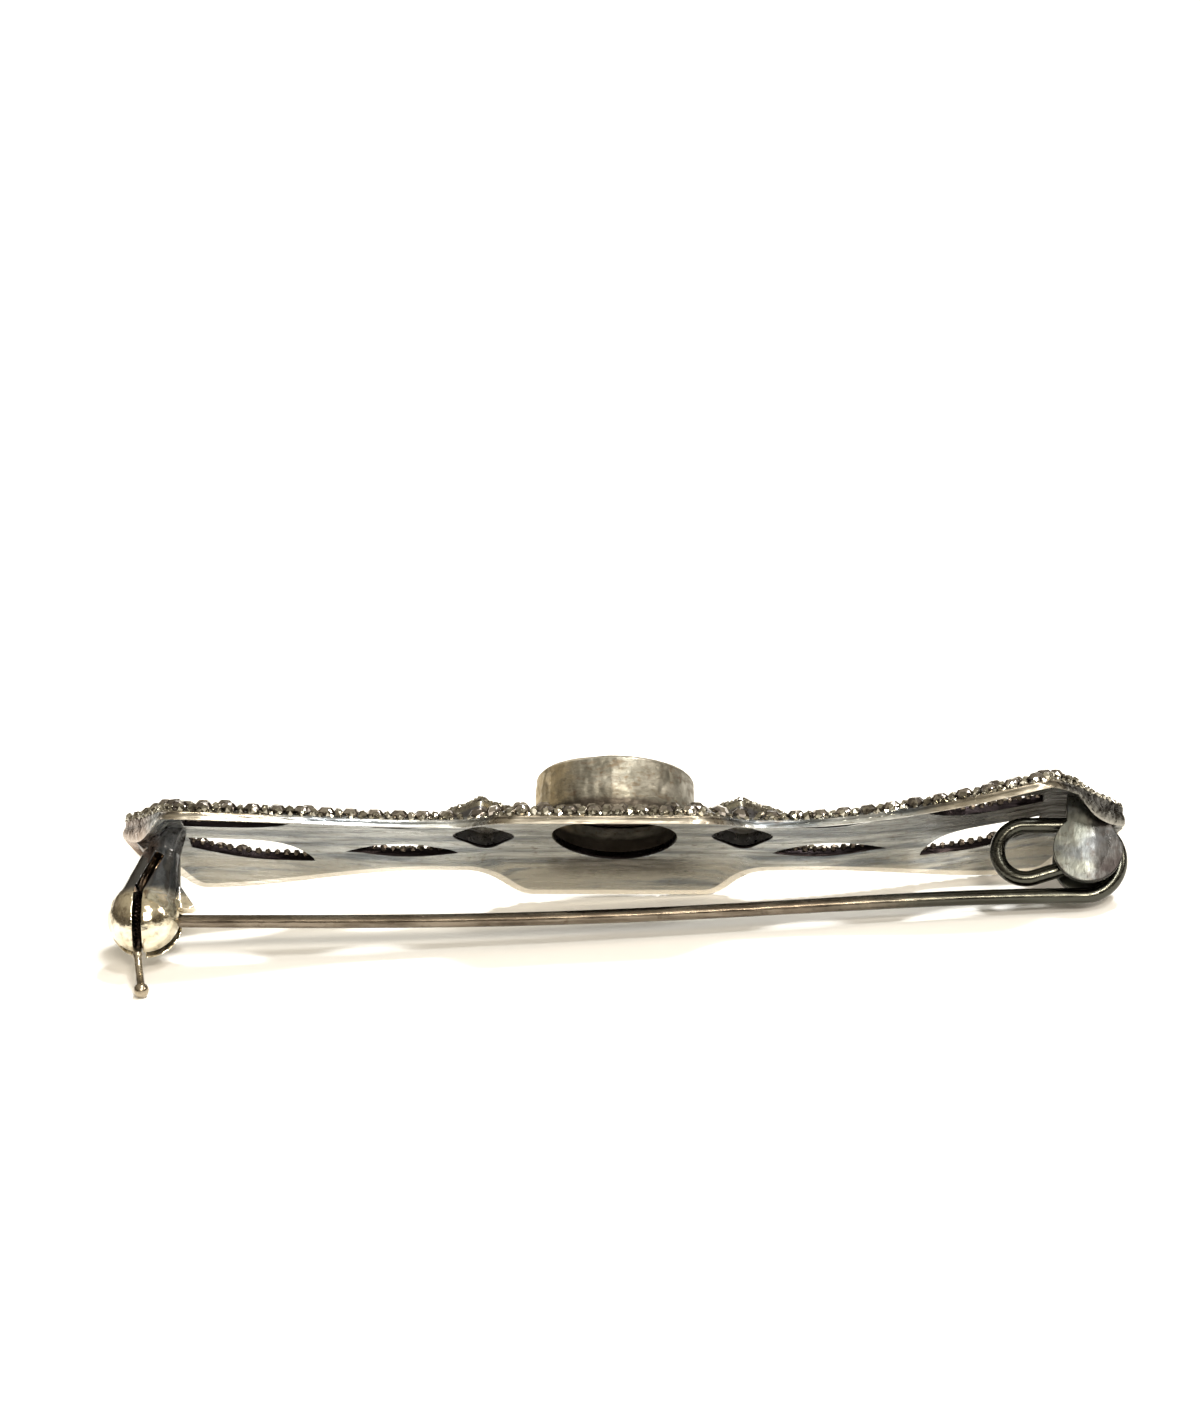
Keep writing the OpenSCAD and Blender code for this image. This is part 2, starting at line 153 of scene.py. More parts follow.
soft_lamp("overhead_lamp", (0.27, -0.05, 0.92), (0.12, 0.12), 8, "#fffefb")
soft_lamp("front_lamp", (0.35, -0.72, 0.88), (0.12, 0.16), 6, "#fffdf6")
soft_lamp("low_lamp", (0.24, -1.15, 0.72), (0.3, 0.16), 14, "#fff5e4")
soft_lamp("side_lamp", (0.42, -0.1, 0.25), (0.08, 0.12), 0.6, "#fff6ea")

world = bpy.data.worlds.new("room")
world.use_nodes = True
bpy.context.scene.world = world
room = world.node_tree
room.nodes.clear()
look = add(room, "ShaderNodeTexCoord")
height = add(room, "ShaderNodeSeparateXYZ", {"Vector": look.outputs["Generated"]})
tone = add(room, "ShaderNodeValToRGB", {"Fac": height.outputs["Z"]})
for place, colour in ((0.0, "#5d5348"), (0.14, "#4a4036"), (0.4, "#a09584"), (0.8, "#d8cfbc")):
    stop = tone.color_ramp.elements.new(place)
    stop.color = linear(colour)
for end in (0, -1):
    tone.color_ramp.elements.remove(tone.color_ramp.elements[end])
sky = add(room, "ShaderNodeBackground", {"Color": tone.outputs["Color"], "Strength": 1.0})
add(room, "ShaderNodeOutputWorld", {"Surface": sky.outputs["Background"]})
bpy.context.scene.view_settings.view_transform = "Standard"


# Tarnished silver, brushed on the back
# Sheet silver that was rubbed with a fine abrasive along the bar and has since greyed. The strokes draw
# out the reflections, and the brown tarnish stays in the hollows and beside the solder. Real strokes are
# finer than the 0.24 mm at which they are drawn here so that they show.
def brooch_millimetres(tree):
    """The place on the object in the brooch's own frame, in millimetres."""
    place = add(tree, "ShaderNodeTexCoord")
    centred = add(tree, "ShaderNodeMapping", {"Vector": place.outputs["Object"], "Location": plate_origin,
                  "Rotation": turned.to_euler("XYZ"), "Scale": (MM, MM, MM)}, vector_type="TEXTURE")
    return centred.outputs["Vector"]


def mottling(tree, place, per_mm, detail=3, roughness=0.55):
    """An uneven pattern from 0 to 1, whose grains number per_mm along X, Y and Z of the brooch."""
    scaled = add(tree, "ShaderNodeVectorMath", {0: place, 1: per_mm}, operation="MULTIPLY")
    made = add(tree, "ShaderNodeTexNoise", {"Vector": scaled.outputs[0], "Scale": 1, "Detail": detail,
               "Roughness": roughness})
    return made.outputs["Fac"]


def tinted(tree, below, above, pattern, low, high, least=0.0, most=1.0):
    """The colour below, covered by the one above: least where the pattern is low, most where it is high."""
    share = add(tree, "ShaderNodeMapRange", {"Value": pattern, "From Min": low, "From Max": high,
                "To Min": least, "To Max": most}, interpolation_type="SMOOTHSTEP")
    below, above = (linear(colour) if isinstance(colour, str) else colour for colour in (below, above))
    return add(tree, "ShaderNodeMix", {0: share.outputs["Result"], 6: below, 7: above},
               data_type="RGBA").outputs[2]


# How near another wall has to be for tarnish, and in the deepest hollows painted shade, to gather between
# the two, in millimetres, and how far the spots shift the border of a zone, as a share of its width.
HOLLOW_REACH = 0.6
RAGGED = 0.8
# Near black for painted shade in the deepest hollows and on sawn walls, where it is also tarnish, and a pale
# tint for the painted highlight on rubbed edges.
OXIDE_AND_SHADE_BLACK, PAINTED_HIGHLIGHT = "#1c1819", "#fffaf0"


def silver(name, bright, grey, brown, strokes_per_mm, rough, stroke_depth, waves=None, zones=(),
           clouds_per_mm=(0.3, 0.75, 0.75)):
    """Silver that is bright where it is handled, grey where it is open, brown with tarnish in its hollows and
    near black in its deepest hollows, which is painted shade. Waves are the low dents of hand work, as their
    number per mm and their depth. A zone is another tint, how far the clouds of grey let it cover, from
    where they are dark to where they are light, and its bounds: on each axis that it names, the place where
    the tint begins and the place where it is full. The spots make its borders ragged. The attribute wear
    paints the edges: at 1 a painted highlight where an edge is rubbed, and at -1 near black, which is
    tarnish and painted shade."""
    made, tree, shader = new_material(name)
    place = brooch_millimetres(tree)
    clouds = mottling(tree, place, clouds_per_mm, 4)
    spots = mottling(tree, place, (1.9, 2.3, 2.1), 5, 0.65)
    strokes = mottling(tree, place, strokes_per_mm, 4, 0.6)
    colour = tinted(tree, bright, grey, clouds, 0.38, 0.62)
    colour = tinted(tree, colour, brown, spots, 0.54, 0.72, 0, 0.6)
    colour = tinted(tree, colour, brown, strokes, 0.5, 0.7, 0, 0.5)
    apart = add(tree, "ShaderNodeSeparateXYZ", {"Vector": place})
    for tint, (least, most), *bounds in zones:
        share = add(tree, "ShaderNodeMapRange", {"Value": clouds, "From Min": 0.6, "From Max": 0.42,
                    "To Min": least, "To Max": most}, interpolation_type="SMOOTHSTEP").outputs["Result"]
        for axis, start, full in bounds:
            shift = RAGGED * abs(full - start)
            uneven = add(tree, "ShaderNodeMath", {0: spots, 1: shift, 2: apart.outputs[axis]},
                         operation="MULTIPLY_ADD")
            within = add(tree, "ShaderNodeMapRange", {"Value": uneven.outputs[0],
                         "From Min": start + shift / 2, "From Max": full + shift / 2},
                         interpolation_type="SMOOTHSTEP")
            share = add(tree, "ShaderNodeMath", {0: within.outputs["Result"], 1: share},
                        operation="MULTIPLY").outputs[0]
        colour = add(tree, "ShaderNodeMix", {0: share, 6: colour, 7: linear(tint)},
                     data_type="RGBA").outputs[2]
    # Brown tarnish gathers in the hollows, and the deepest hollows are painted near black as painted shade.
    shade = add(tree, "ShaderNodeAmbientOcclusion", {"Distance": HOLLOW_REACH * MM}, samples=8,
                only_local=True)
    colour = tinted(tree, colour, brown, shade.outputs["AO"], 0.9, 0.35)
    colour = tinted(tree, colour, OXIDE_AND_SHADE_BLACK, shade.outputs["AO"], 0.5, 0.2)
    # The attribute wear paints a highlight on rubbed edges. It paints near black on sawn walls, which is
    # tarnish and painted shade, and in the groove of the outer edge, which is painted shade.
    wear = add(tree, "ShaderNodeAttribute", attribute_name="wear")
    colour = tinted(tree, colour, OXIDE_AND_SHADE_BLACK, wear.outputs["Fac"], 0, -1)
    colour = tinted(tree, colour, PAINTED_HIGHLIGHT, wear.outputs["Fac"], 0, 1)
    tree.links.new(colour, shader.inputs["Base Color"])
    shader.inputs["Metallic"].default_value = 1
    gloss = add(tree, "ShaderNodeMapRange", {"Value": strokes, "From Min": 0.3, "From Max": 0.7,
                "To Min": rough[0], "To Max": rough[1]}, interpolation_type="SMOOTHSTEP")
    tree.links.new(gloss.outputs["Result"], shader.inputs["Roughness"])
    dents = add(tree, "ShaderNodeBump", {"Height": strokes, "Distance": stroke_depth * MM, "Strength": 1})
    if waves:
        per_mm, depth = waves
        dents = add(tree, "ShaderNodeBump", {"Height": mottling(tree, place, per_mm, 2), "Strength": 1,
                    "Distance": depth * MM, "Normal": dents.outputs["Normal"]})
    tree.links.new(dents.outputs["Normal"], shader.inputs["Normal"])
    return made


FULL = (1, 1)
# Tints of the back, in order: warmer at the left point; darker at the right end; a painted reflection that
# lightens the back towards the far rim; a painted dark reflection across the middle of the panel; painted
# shade on the near half of the right arm's end; painted shade beside the coil of the pin; and warmer along
# the near edge.
back_tints_and_painted_light = (
    ("#8d7b6f", FULL, ("X", -24.6, -25.6)),
    ("#5f5f62", FULL, ("X", 26.2, 27.2)),
    ("#b5b2a9", (0.2, 1), ("Y", 2.6, 4.6)),
    ("#45413b", (1, 0.7), ("X", -5.2, -2.2), ("X", 5.6, 2.8), ("Y", 2.9, 3.6), ("Y", 5.5, 4.6)),
    ("#3c3d3a", FULL, ("X", 15.4, 18.8), ("Y", 1.9, 0.9)),
    ("#4c4b46", FULL, ("X", 20.6, 22.4), ("Y", 3.6, 2.0)),
    ("#a1998a", FULL, ("Y", -4.9, -5.7)))
brushed_silver = silver("tarnished_silver_brushed", "#c4c7c6", "#7f858a", "#5d5347", (0.3, 4.2, 4.2),
                        (0.2, 0.42), 0.03, ((0.3, 1.1, 1.1), 0.2), back_tints_and_painted_light, (0.13, 1.1, 1.1))


# The plate
# One sheet of silver, pierced with a saw, domed across its width and bent a little at each end. Its outer
# edge is rounded behind, with a painted highlight as a bright line, and has a groove in front painted dark
# as painted shade. Its outline is the solid's own rule.
LEFT_LENGTH, RIGHT_LENGTH = 27.0, 28.0
PANEL_X, PANEL_W, PANEL_ROUND = 5.45, 6.6, 0.7
WAIST_X, WAIST_W, WAIST_ROUND = 7.5, 3.95, 0.9
FLARE_X, CORNER_X, END_W, TIP_W, END_ROUND = 10, 23.8, 6.4, 0.3, 0.7
PLATE_T, ARCH = 0.5, 0.021
BORDER_W, BORDER_SLOPE = 1.7, 0.27
LEFT_BEND, RIGHT_BEND, RIGHT_TWIST, BEND_X, BEND_SPAN = 0.25, 1.75, 0.06, 8, 16
LEFT_DROOP, RIGHT_DROOP, DROOP_X, DROOP_SPAN = -0.15, 0.6, 24, 4
TIP_EXTRA_T, THICK_FROM_TIP, THICK_SPAN = 0.9, 1.0, 1.6
BACK_HOLE_R = 3.4
COLLAR_X = 0.1
DIAMOND_X, DIAMOND_HALF, DIAMOND_WALL, DIAMOND_H, DIAMOND_ROOF = 7.1, (2.5, 2.95), 0.42, 1.3, 0.4
GRID = 0.34
EDGE_STEP = 0.24
SKIN = 0.006


def smooth(t):
    """0 up to 0, 1 from 1, and a soft step between them."""
    t = min(max(t, 0), 1)
    return t * t * (3 - 2 * t)


def along(a, b, t):
    """The share t of the way from a to b."""
    return a + (b - a) * t


def arm_length(x):
    return LEFT_LENGTH if x < 0 else RIGHT_LENGTH


def past(a, corner, r):
    """How far past a corner the place a is, with the corner rounded for r on both sides."""
    return a - corner if a > corner + r else max(a - corner + r, 0) ** 2 / (4 * r)


def half_width(x):
    """Half the width of the plate: the panel, its waists, and arms that flare and then close to a point."""
    a = abs(x)
    narrowing = (PANEL_W - WAIST_W) / (WAIST_X - PANEL_X)
    closing = (END_W - TIP_W) / (arm_length(x) - CORNER_X)
    flare = (END_W - WAIST_W) * smooth((a - FLARE_X) / (CORNER_X - FLARE_X))
    return (PANEL_W - narrowing * (past(a, PANEL_X, PANEL_ROUND) - past(a, WAIST_X, WAIST_ROUND))
            + flare - closing * past(a, CORNER_X, END_ROUND))


def arm_bend(x):
    """How far an arm is bent to the front, less the droop of its end."""
    bend, droop = (LEFT_BEND, LEFT_DROOP) if x < 0 else (RIGHT_BEND, RIGHT_DROOP)
    up = bend * (max(min(abs(x), DROOP_X) - BEND_X, 0) / BEND_SPAN) ** 2
    return up - droop * (max(abs(x) - DROOP_X, 0) / DROOP_SPAN) ** 2


def thickness(x):
    inwards = arm_length(x) - abs(x)
    return PLATE_T + TIP_EXTRA_T * max(1 - ((inwards - THICK_FROM_TIP) / THICK_SPAN) ** 2, 0)


def back_z(x, y):
    """The height of the sheet's back: bent, twisted, domed, and folded back along its border."""
    fold = max(half_width(x) - BORDER_W, 0.4 * half_width(x))
    twist = RIGHT_TWIST * (max(min(x, DROOP_X) - BEND_X, 0) / BEND_SPAN) ** 2
    return arm_bend(x) - twist * y - ARCH * y * y - BORDER_SLOPE * max(abs(y) - fold, 0)


def front_z(x, y):
    return back_z(x, y) + PLATE_T


def under_z(x, y):
    """The height of the back with the thicker ends counted in."""
    return front_z(x, y) - thickness(x)


def spaced(points, step):
    """A closed outline with points added so that none are further apart than step."""
    made = []
    for i, a in enumerate(points):
        b = points[(i + 1) % len(points)]
        count = max(1, math.ceil(math.dist(a, b) / step))
        made += [(along(a[0], b[0], k / count), along(a[1], b[1], k / count)) for k in range(count)]
    return made


def slot_outline():
    """A long lens between the rib and the border of the arm."""
    (ax, ay), (bx, by), inner, outer, n = (8.7, 2.5), (14.95, 2.6), 1.35, 2.8, 16
    low = [(along(ax, bx, i / n), along(ay, by, i / n) - (ay - inner) * math.sin(math.pi * i / n))
           for i in range(n + 1)]
    high = [(along(ax, bx, i / n), along(ay, by, i / n) + (outer - ay) * math.sin(math.pi * i / n))
            for i in range(n - 1, 0, -1)]
    return low + high


def window_outline():
    """A leaf that bends in from its point towards the rib."""
    tip_x, tip_y, end_x, end_y, inner, bulge, n = 16.8, 3.7, 23.5, 2.5, 1.05, 0.62, 16
    low = [(along(tip_x, end_x, (i / n) ** 1.5), inner + (tip_y - inner) * (1 - (i / n) ** 1.5) ** 6)
           for i in range(n + 1)]
    high = [(along(tip_x, end_x, i / n), along(tip_y, end_y, i / n) + bulge * math.sin(math.pi * i / n))
            for i in range(n, 0, -1)]
    return low + high


def diamond_outline(inset):
    """The corners of a raised diamond, with its sides moved in."""
    k = inset / math.sin(math.atan(DIAMOND_HALF[1] / DIAMOND_HALF[0]))
    half = (DIAMOND_HALF[0] - k, (DIAMOND_HALF[0] - k) * DIAMOND_HALF[1] / DIAMOND_HALF[0])
    return [(half[0], 0), (0, half[1]), (-half[0], 0), (0, -half[1])]


def rounded(outline, r):
    """The outline with each corner cut back by r and turned with a small arc."""
    made = []
    for i, here in enumerate(outline):
        before, after = Vector(outline[i - 1]), Vector(outline[(i + 1) % len(outline)])
        corner = Vector(here)
        a = corner + (before - corner).normalized() * r
        b = corner + (after - corner).normalized() * r
        for k in range(7):
            t = k / 6
            made.append(tuple(a * (1 - t) ** 2 + corner * 2 * t * (1 - t) + b * t * t))
    return made


def mirrored(outline, sx, sy):
    """The outline in one quarter of the plate, and always clockwise, as a hole's is."""
    turned_over = [(sx * x, sy * y) for x, y in outline]
    area = sum(a[0] * b[1] - b[0] * a[1] for a, b in zip(turned_over, turned_over[1:] + turned_over[:1]))
    return turned_over[::-1] if area > 0 else turned_over


steps = 250
stations = [along(-LEFT_LENGTH, RIGHT_LENGTH, i / steps) for i in range(steps + 1)]
near_side = [(x, -half_width(x)) for x in stations]
far_side = [(x, half_width(x)) for x in reversed(stations)]
plate_edge = spaced(near_side + far_side, EDGE_STEP)
quarters = [(sx, sy) for sx in (-1, 1) for sy in (-1, 1)]
slots = [mirrored(spaced(slot_outline(), EDGE_STEP), sx, sy) for sx, sy in quarters]
windows = [mirrored(spaced(window_outline(), EDGE_STEP), sx, sy) for sx, sy in quarters]
pocket = rounded(diamond_outline(DIAMOND_WALL), 0.9)
pockets = [mirrored(spaced([(x + s * DIAMOND_X, y) for x, y in pocket], EDGE_STEP), 1, 1) for s in (-1, 1)]
round_hole = mirrored([(COLLAR_X + BACK_HOLE_R * math.cos(math.tau * i / 96),
                        BACK_HOLE_R * math.sin(math.tau * i / 96)) for i in range(96)], 1, 1)
holes = slots + windows + pockets + [round_hole]


def inside(point, loop):
    """Whether a point is inside a closed loop."""
    x, y = point
    odd = False
    for (ax, ay), (bx, by) in zip(loop, loop[1:] + loop[:1]):
        if (ay > y) != (by > y) and x < ax + (y - ay) * (bx - ax) / (by - ay):
            odd = not odd
    return odd


def between(point, outer, inner_loops):
    """Whether a point is inside the outer loop and outside each inner one."""
    return inside(point, outer) and not any(inside(point, loop) for loop in inner_loops)


def sheet_mesh(loops, grid):
    """Points and triangles that fill the sheet between its loops, and the numbers of the loops' own points.
    A point of the grid that is closer to a loop than clear is left out, because it would make slivers."""
    clear = 0.6 * grid
    border = [p for loop in loops for p in loop]
    near = KDTree(len(border))
    for i, p in enumerate(border):
        near.insert((*p, 0), i)
    near.balance()
    inner = []
    rows = int(2 * PANEL_W / grid)
    columns = int((LEFT_LENGTH + RIGHT_LENGTH) / grid)
    for i in range(columns):
        for j in range(rows):
            p = (-LEFT_LENGTH + (i + 0.5 * (j % 2)) * grid, -PANEL_W + (j + 0.5) * grid)
            if near.find((*p, 0))[2] > clear and between(p, loops[0], loops[1:]):
                inner.append(p)
    edges, start = [], 0
    for loop in loops:
        edges += [(start + i, start + (i + 1) % len(loop)) for i in range(len(loop))]
        start += len(loop)
    places = [Vector(p) for p in border + inner]
    points, _, faces, came_from, _, _ = delaunay_2d_cdt(places, edges, [], 0, 1e-6)
    number = {source[0]: new for new, source in enumerate(came_from) if source}
    kept = []
    for face in faces:
        middle = sum((points[i] for i in face), Vector((0, 0))) / len(face)
        if between(middle, loops[0], loops[1:]):
            kept.append(face)
    return points, kept, [number[i] for i in range(len(border))]


# Rings of a sawn edge, from the back to the front: how far in, how far up the thickness, and the wear
# value painted there, from 1 for a painted highlight to -1 for near black, which is tarnish and painted
# shade.
SAWN_EDGE = ((0.05, 0.0, 0), (0.01, 0.08, -1), (0.0, 0.3, -1), (0.0, 0.75, -1), (0.01, 0.92, -1),
             (0.06, 1.0, -1))

# How wide the rounded edge and its painted highlight are on the near side and on the far side, and how
# strong the painted highlight is on the near one.
LINE_NEAR, LINE_FAR, NEAR_HIGHLIGHT_SHARE = 0.2, 0.42, 0.3


def line_width(x, ny):
    """How wide the rounded edge with its painted highlight line is behind, where the outline faces ny: widest
    on the far side, and narrower at the points."""
    ends = smooth((arm_length(x) - abs(x)) / 2)
    return along(LINE_NEAR, LINE_FAR, smooth(0.5 + ny)) * along(0.55, 1, ends)


def filed_edge(width):
    """The same for the outer edge: a rounded edge behind with a painted highlight, and a groove in front,
    under the stones, painted dark as painted shade.
    """
    return ((width, 0.0, 0), (0.8 * width, 0.01, 0.9), (0.4 * width, 0.01, 1), (0.05, 0.04, 1),
            (0.0, 0.13, 0.7), (0.0, 0.36, 0.35), (0.03, 0.5, 0.1), (0.11, 0.6, -0.5), (0.13, 0.75, -0.5),
            (0.11, 0.88, -0.35), (0.15, 0.97, -0.4), (width, 1.0, -0.4))


def outward(loop, i):
    """The direction out of the metal at one point of a loop, in the plane of the plate."""
    (ax, ay), (bx, by) = loop[i - 1], loop[(i + 1) % len(loop)]
    length = max(math.hypot(bx - ax, by - ay), 1e-9)
    return (by - ay) / length, (ax - bx) / length


def edge_points(loop, i):
    """The places of one point of a loop, ring by ring from the back to the front, each with its wear, the
    painted tone. The painted highlight is weaker on the near side than on the far side."""
    x, y = loop[i]
    nx, ny = outward(loop, i)
    profile = filed_edge(line_width(x, ny)) if loop is plate_edge else SAWN_EDGE
    highlight_share = along(NEAR_HIGHLIGHT_SHARE, 1, smooth(0.5 + ny))
    made = []
    for inset, share, wear in profile:
        wear *= highlight_share if wear > 0 else 1
        at = (x - nx * (inset + SKIN), y - ny * (inset + SKIN))
        made.append((Vector((*at, along(under_z(*at), front_z(*at), share))), wear))
    return made


def plate_mesh():
    edges = [[edge_points(loop, i) for i in range(len(loop))] for loop in [plate_edge] + holes]
    first_rings = [[tuple(column[0][0].xy) for column in edge] for edge in edges]
    points, faces, border = sheet_mesh(first_rings, GRID)
    made = bmesh.new()
    # The attribute wear holds the painted tone of the edges: a painted highlight, or near black that is
    # tarnish and painted shade.
    worn = made.loops.layers.float.new("wear")
    layers = []
    for surface in (under_z, front_z):
        layers.append([made.verts.new((p.x, p.y, surface(p.x, p.y))) for p in points])
    for face in faces:
        made.faces.new([layers[1][i] for i in face])
        made.faces.new([layers[0][i] for i in reversed(face)])
    start = 0
    for edge in edges:
        columns = []
        for i, column in enumerate(edge):
            rise = [made.verts.new(place) for place, _ in column[1:-1]]
            columns.append([layers[0][border[start + i]], *rise, layers[1][border[start + i]]])
        for i, column in enumerate(columns):
            following = columns[(i + 1) % len(columns)]
            for k in range(len(column) - 1):
                wall = made.faces.new((column[k], following[k], following[k + 1], column[k + 1]))
                before, after = edge[i][k][1], edge[i][k + 1][1]
                for corner, wear in zip(wall.loops, (before, before, after, after)):
                    corner[worn] = wear
        start += len(edge)
    return made


# An edge that turns by more than this is shaded sharp.
SHARP = math.radians(38)


def dressed(name, made, material, body, sharp=SHARP):
    """A piece from a mesh in brooch millimetres: put in its place, shaded, and riding on its body."""
    data = bpy.data.meshes.new(name)
    bmesh.ops.recalc_face_normals(made, faces=made.faces)
    made.to_mesh(data)
    made.free()
    data.transform(BROOCH_TO_ROW)
    data.shade_smooth()
    data.set_sharp_from_angle(angle=sharp)
    data.materials.clear()
    data.materials.append(material)
    piece = bpy.data.objects.new(name, data)
    bpy.context.scene.collection.objects.link(piece)
    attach(piece, body)
    return piece


plate = dressed("pierced_plate", plate_mesh(), brushed_silver, "brooch")
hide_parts("silver_frame")


# The raised diamonds
# Two boxes cast in silver, open behind and soldered over diamond holes in the plate, with a soft edge
# round their flat tops. The cast silver is a little warmer and more even than the brushed sheet.
# Below 0.8 mm, inside the hollows and at the foot of each box, it is painted a darker grey as painted shade.
cast_silver = silver("tarnished_silver_cast", "#b3b0a2", "#8a887c", "#625d52", (3, 3, 3), (0.22, 0.42), 0.02,
                     zones=(("#77777a", FULL, ("Z", 0.95, 0.8)),))


def lofted(made, rings, closed_ends=(True, True)):
    """Joins rings of as many points each by quads, and closes the first and the last if asked."""
    rows = [[made.verts.new(p) for p in ring] for ring in rings]
    for lower, upper in zip(rows, rows[1:]):
        for i in range(len(lower)):
            k = (i + 1) % len(lower)
            made.faces.new((lower[i], lower[k], upper[k], upper[i]))
    if closed_ends[0]:
        made.faces.new(rows[0][::-1])
    if closed_ends[1]:
        made.faces.new(rows[-1])


def diamonds_mesh():
    """Both diamonds, from rings up the outside and up the hollow: how far in, and how high."""
    made = bmesh.new()
    outside = ((0.02, 0.12), (0.02, 1.08), (0.05, 1.2), (0.12, 1.27), (0.24, 1.294))
    inside_top = DIAMOND_H - DIAMOND_ROOF
    hollow = ((0.04, 0.12), (0.04, 0.3), (0.0, inside_top - 0.12), (0.14, inside_top))
    for s in (-1, 1):
        rings = [[(x + s * DIAMOND_X, y, z) for x, y in rounded(diamond_outline(inset), 0.3)]
                 for inset, z in outside]
        lofted(made, rings, (False, True))
        inner = [[(x + s * DIAMOND_X, y, z) for x, y in rounded(diamond_outline(DIAMOND_WALL + inset), 0.9)]
                 for inset, z in hollow]
        lofted(made, [ring[::-1] for ring in inner], (False, True))
        lower_rim = [made.verts.new(p) for p in rings[0]]
        inner_rim = [made.verts.new(p) for p in inner[0]]
        for i in range(len(lower_rim)):
            k = (i + 1) % len(lower_rim)
            made.faces.new((lower_rim[k], lower_rim[i], inner_rim[i], inner_rim[k]))
    bmesh.ops.remove_doubles(made, verts=made.verts, dist=1e-5)
    return made


diamonds = dressed("raised_diamonds", diamonds_mesh(), cast_silver, "brooch")
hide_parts("silver_frame")


# The collar of the stone
# A strip of silver bent round and soldered to the plate, its rim rubbed down over the stone. Years of
# wear have left it brown, with small dents, and a painted highlight lightens the top of its rim.
COLLAR_R, COLLAR_H = 4.4, 3.35
# The rim is highest in the direction RIM_TOP, and lower by twice RIM_FALL across from it.
RIM_FALL, RIM_TOP = 0.11, math.radians(-100)
WALL_BULGE_Z = 2.15
SEAT_Z, WALL_R, LIP_R, LIP_H = 1.65, 4.02, 3.88, 0.3
TURNS = 144
# Warmer and lighter on the left, darker towards the foot, and a painted highlight along the top of the rim.
collar_tints_and_painted_highlight = (
    ("#bbab8a", (0.55, 1), ("X", -1.4, -3.6)),
    ("#4c463f", FULL, ("Z", 1.1, 0.8)),
    ("#dcd5c6", (0.3, 1), ("Z", 3.1, 3.2)))
collar_silver = silver("tarnished_silver_collar", "#8f8c82", "#716e64", "#5d4a35", (1.2, 1.2, 3.2),
                       (0.4, 0.6), 0.05, ((0.7, 0.7, 0.5), 0.3), collar_tints_and_painted_highlight)


def turned_ring(made, profile, dent=0.0):
    """A closed profile of [radius, z] turned about the collar's middle, with dents and an uneven rim."""
    rows = []
    for i in range(TURNS):
        a = math.tau * i / TURNS
        wave = math.sin(3 * a + 1) + 0.6 * math.sin(7 * a + 2.1) + 0.4 * math.sin(13 * a)
        fall = RIM_FALL * (1 - math.cos(a - RIM_TOP))
        row = []
        for radius, z in profile:
            r = radius - dent * (1 + wave / 2) * (radius > WALL_R)
            lowered = z - fall * smooth((z - 1.2) / 1.4) - dent * max(wave, 0) * (z > COLLAR_H - 0.2)
            row.append(made.verts.new((COLLAR_X + r * math.cos(a), r * math.sin(a), lowered)))
        rows.append(row)
    for i, row in enumerate(rows):
        following = rows[(i + 1) % TURNS]
        for j in range(len(profile)):
            k = (j + 1) % len(profile)
            made.faces.new((row[j], following[j], following[k], row[k]))


def collar_mesh():
    made = bmesh.new()
    wall = [(COLLAR_R - 0.01 - 0.08 * (z - WALL_BULGE_Z) ** 2, z)
            for z in (0.03, 0.5, 1, 1.4, 1.8, 2.2, 2.6, 2.95)]
    wall.append((COLLAR_R - 0.05, COLLAR_H - 0.25))
    rim = [(COLLAR_R - 0.1, COLLAR_H - 0.12), (COLLAR_R - 0.2, COLLAR_H - 0.03),
           (COLLAR_R - 0.33, COLLAR_H - 0.01), (LIP_R + 0.05, COLLAR_H - 0.03),
           (LIP_R + 0.01, COLLAR_H - 0.09)]
    bore = [(WALL_R, COLLAR_H - LIP_H), (WALL_R, SEAT_Z), (BACK_HOLE_R + 0.1, SEAT_Z),
            (BACK_HOLE_R + 0.01, SEAT_Z - 0.1), (BACK_HOLE_R + 0.01, 0.03)]
    turned_ring(made, wall + rim + bore, 0.02)
    return made


collar = dressed("collar", collar_mesh(), collar_silver, "brooch")
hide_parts("silver_frame")


# The stone
# A low dome of mother of pearl, cut across the shell's layers. Its surface is polished, and the layers
# show as soft bands of cream, rose and green. Its flat back is dull and brown.
pearl, pearl_tree, pearl_shader = new_material("polished_mother_of_pearl")
pearl_place = brooch_millimetres(pearl_tree)
swirl = mottling(pearl_tree, pearl_place, (0.25, 0.25, 0.25), 2)
bands = add(pearl_tree, "ShaderNodeTexWave", {"Vector": pearl_place, "Scale": 0.14, "Distortion": 7,
            "Detail": 3, "Detail Scale": 0.6}, wave_type="BANDS", bands_direction="DIAGONAL")
pearl_colour = tinted(pearl_tree, "#e9e4dc", "#d8cfd0", bands.outputs["Fac"], 0.1, 0.9)
pearl_colour = tinted(pearl_tree, pearl_colour, "#cfd9d0", swirl, 0.52, 0.68, 0, 0.75)
pearl_colour = tinted(pearl_tree, pearl_colour, "#e3c9cf", swirl, 0.48, 0.32, 0, 0.7)
DULL_FROM, DULL_BELOW = SEAT_Z + 0.35, SEAT_Z + 0.1
pearl_height = add(pearl_tree, "ShaderNodeSeparateXYZ", {"Vector": pearl_place}).outputs["Z"]
pearl_colour = tinted(pearl_tree, pearl_colour, "#2b241d", pearl_height, DULL_FROM, DULL_BELOW)
pearl_tree.links.new(pearl_colour, pearl_shader.inputs["Base Color"])
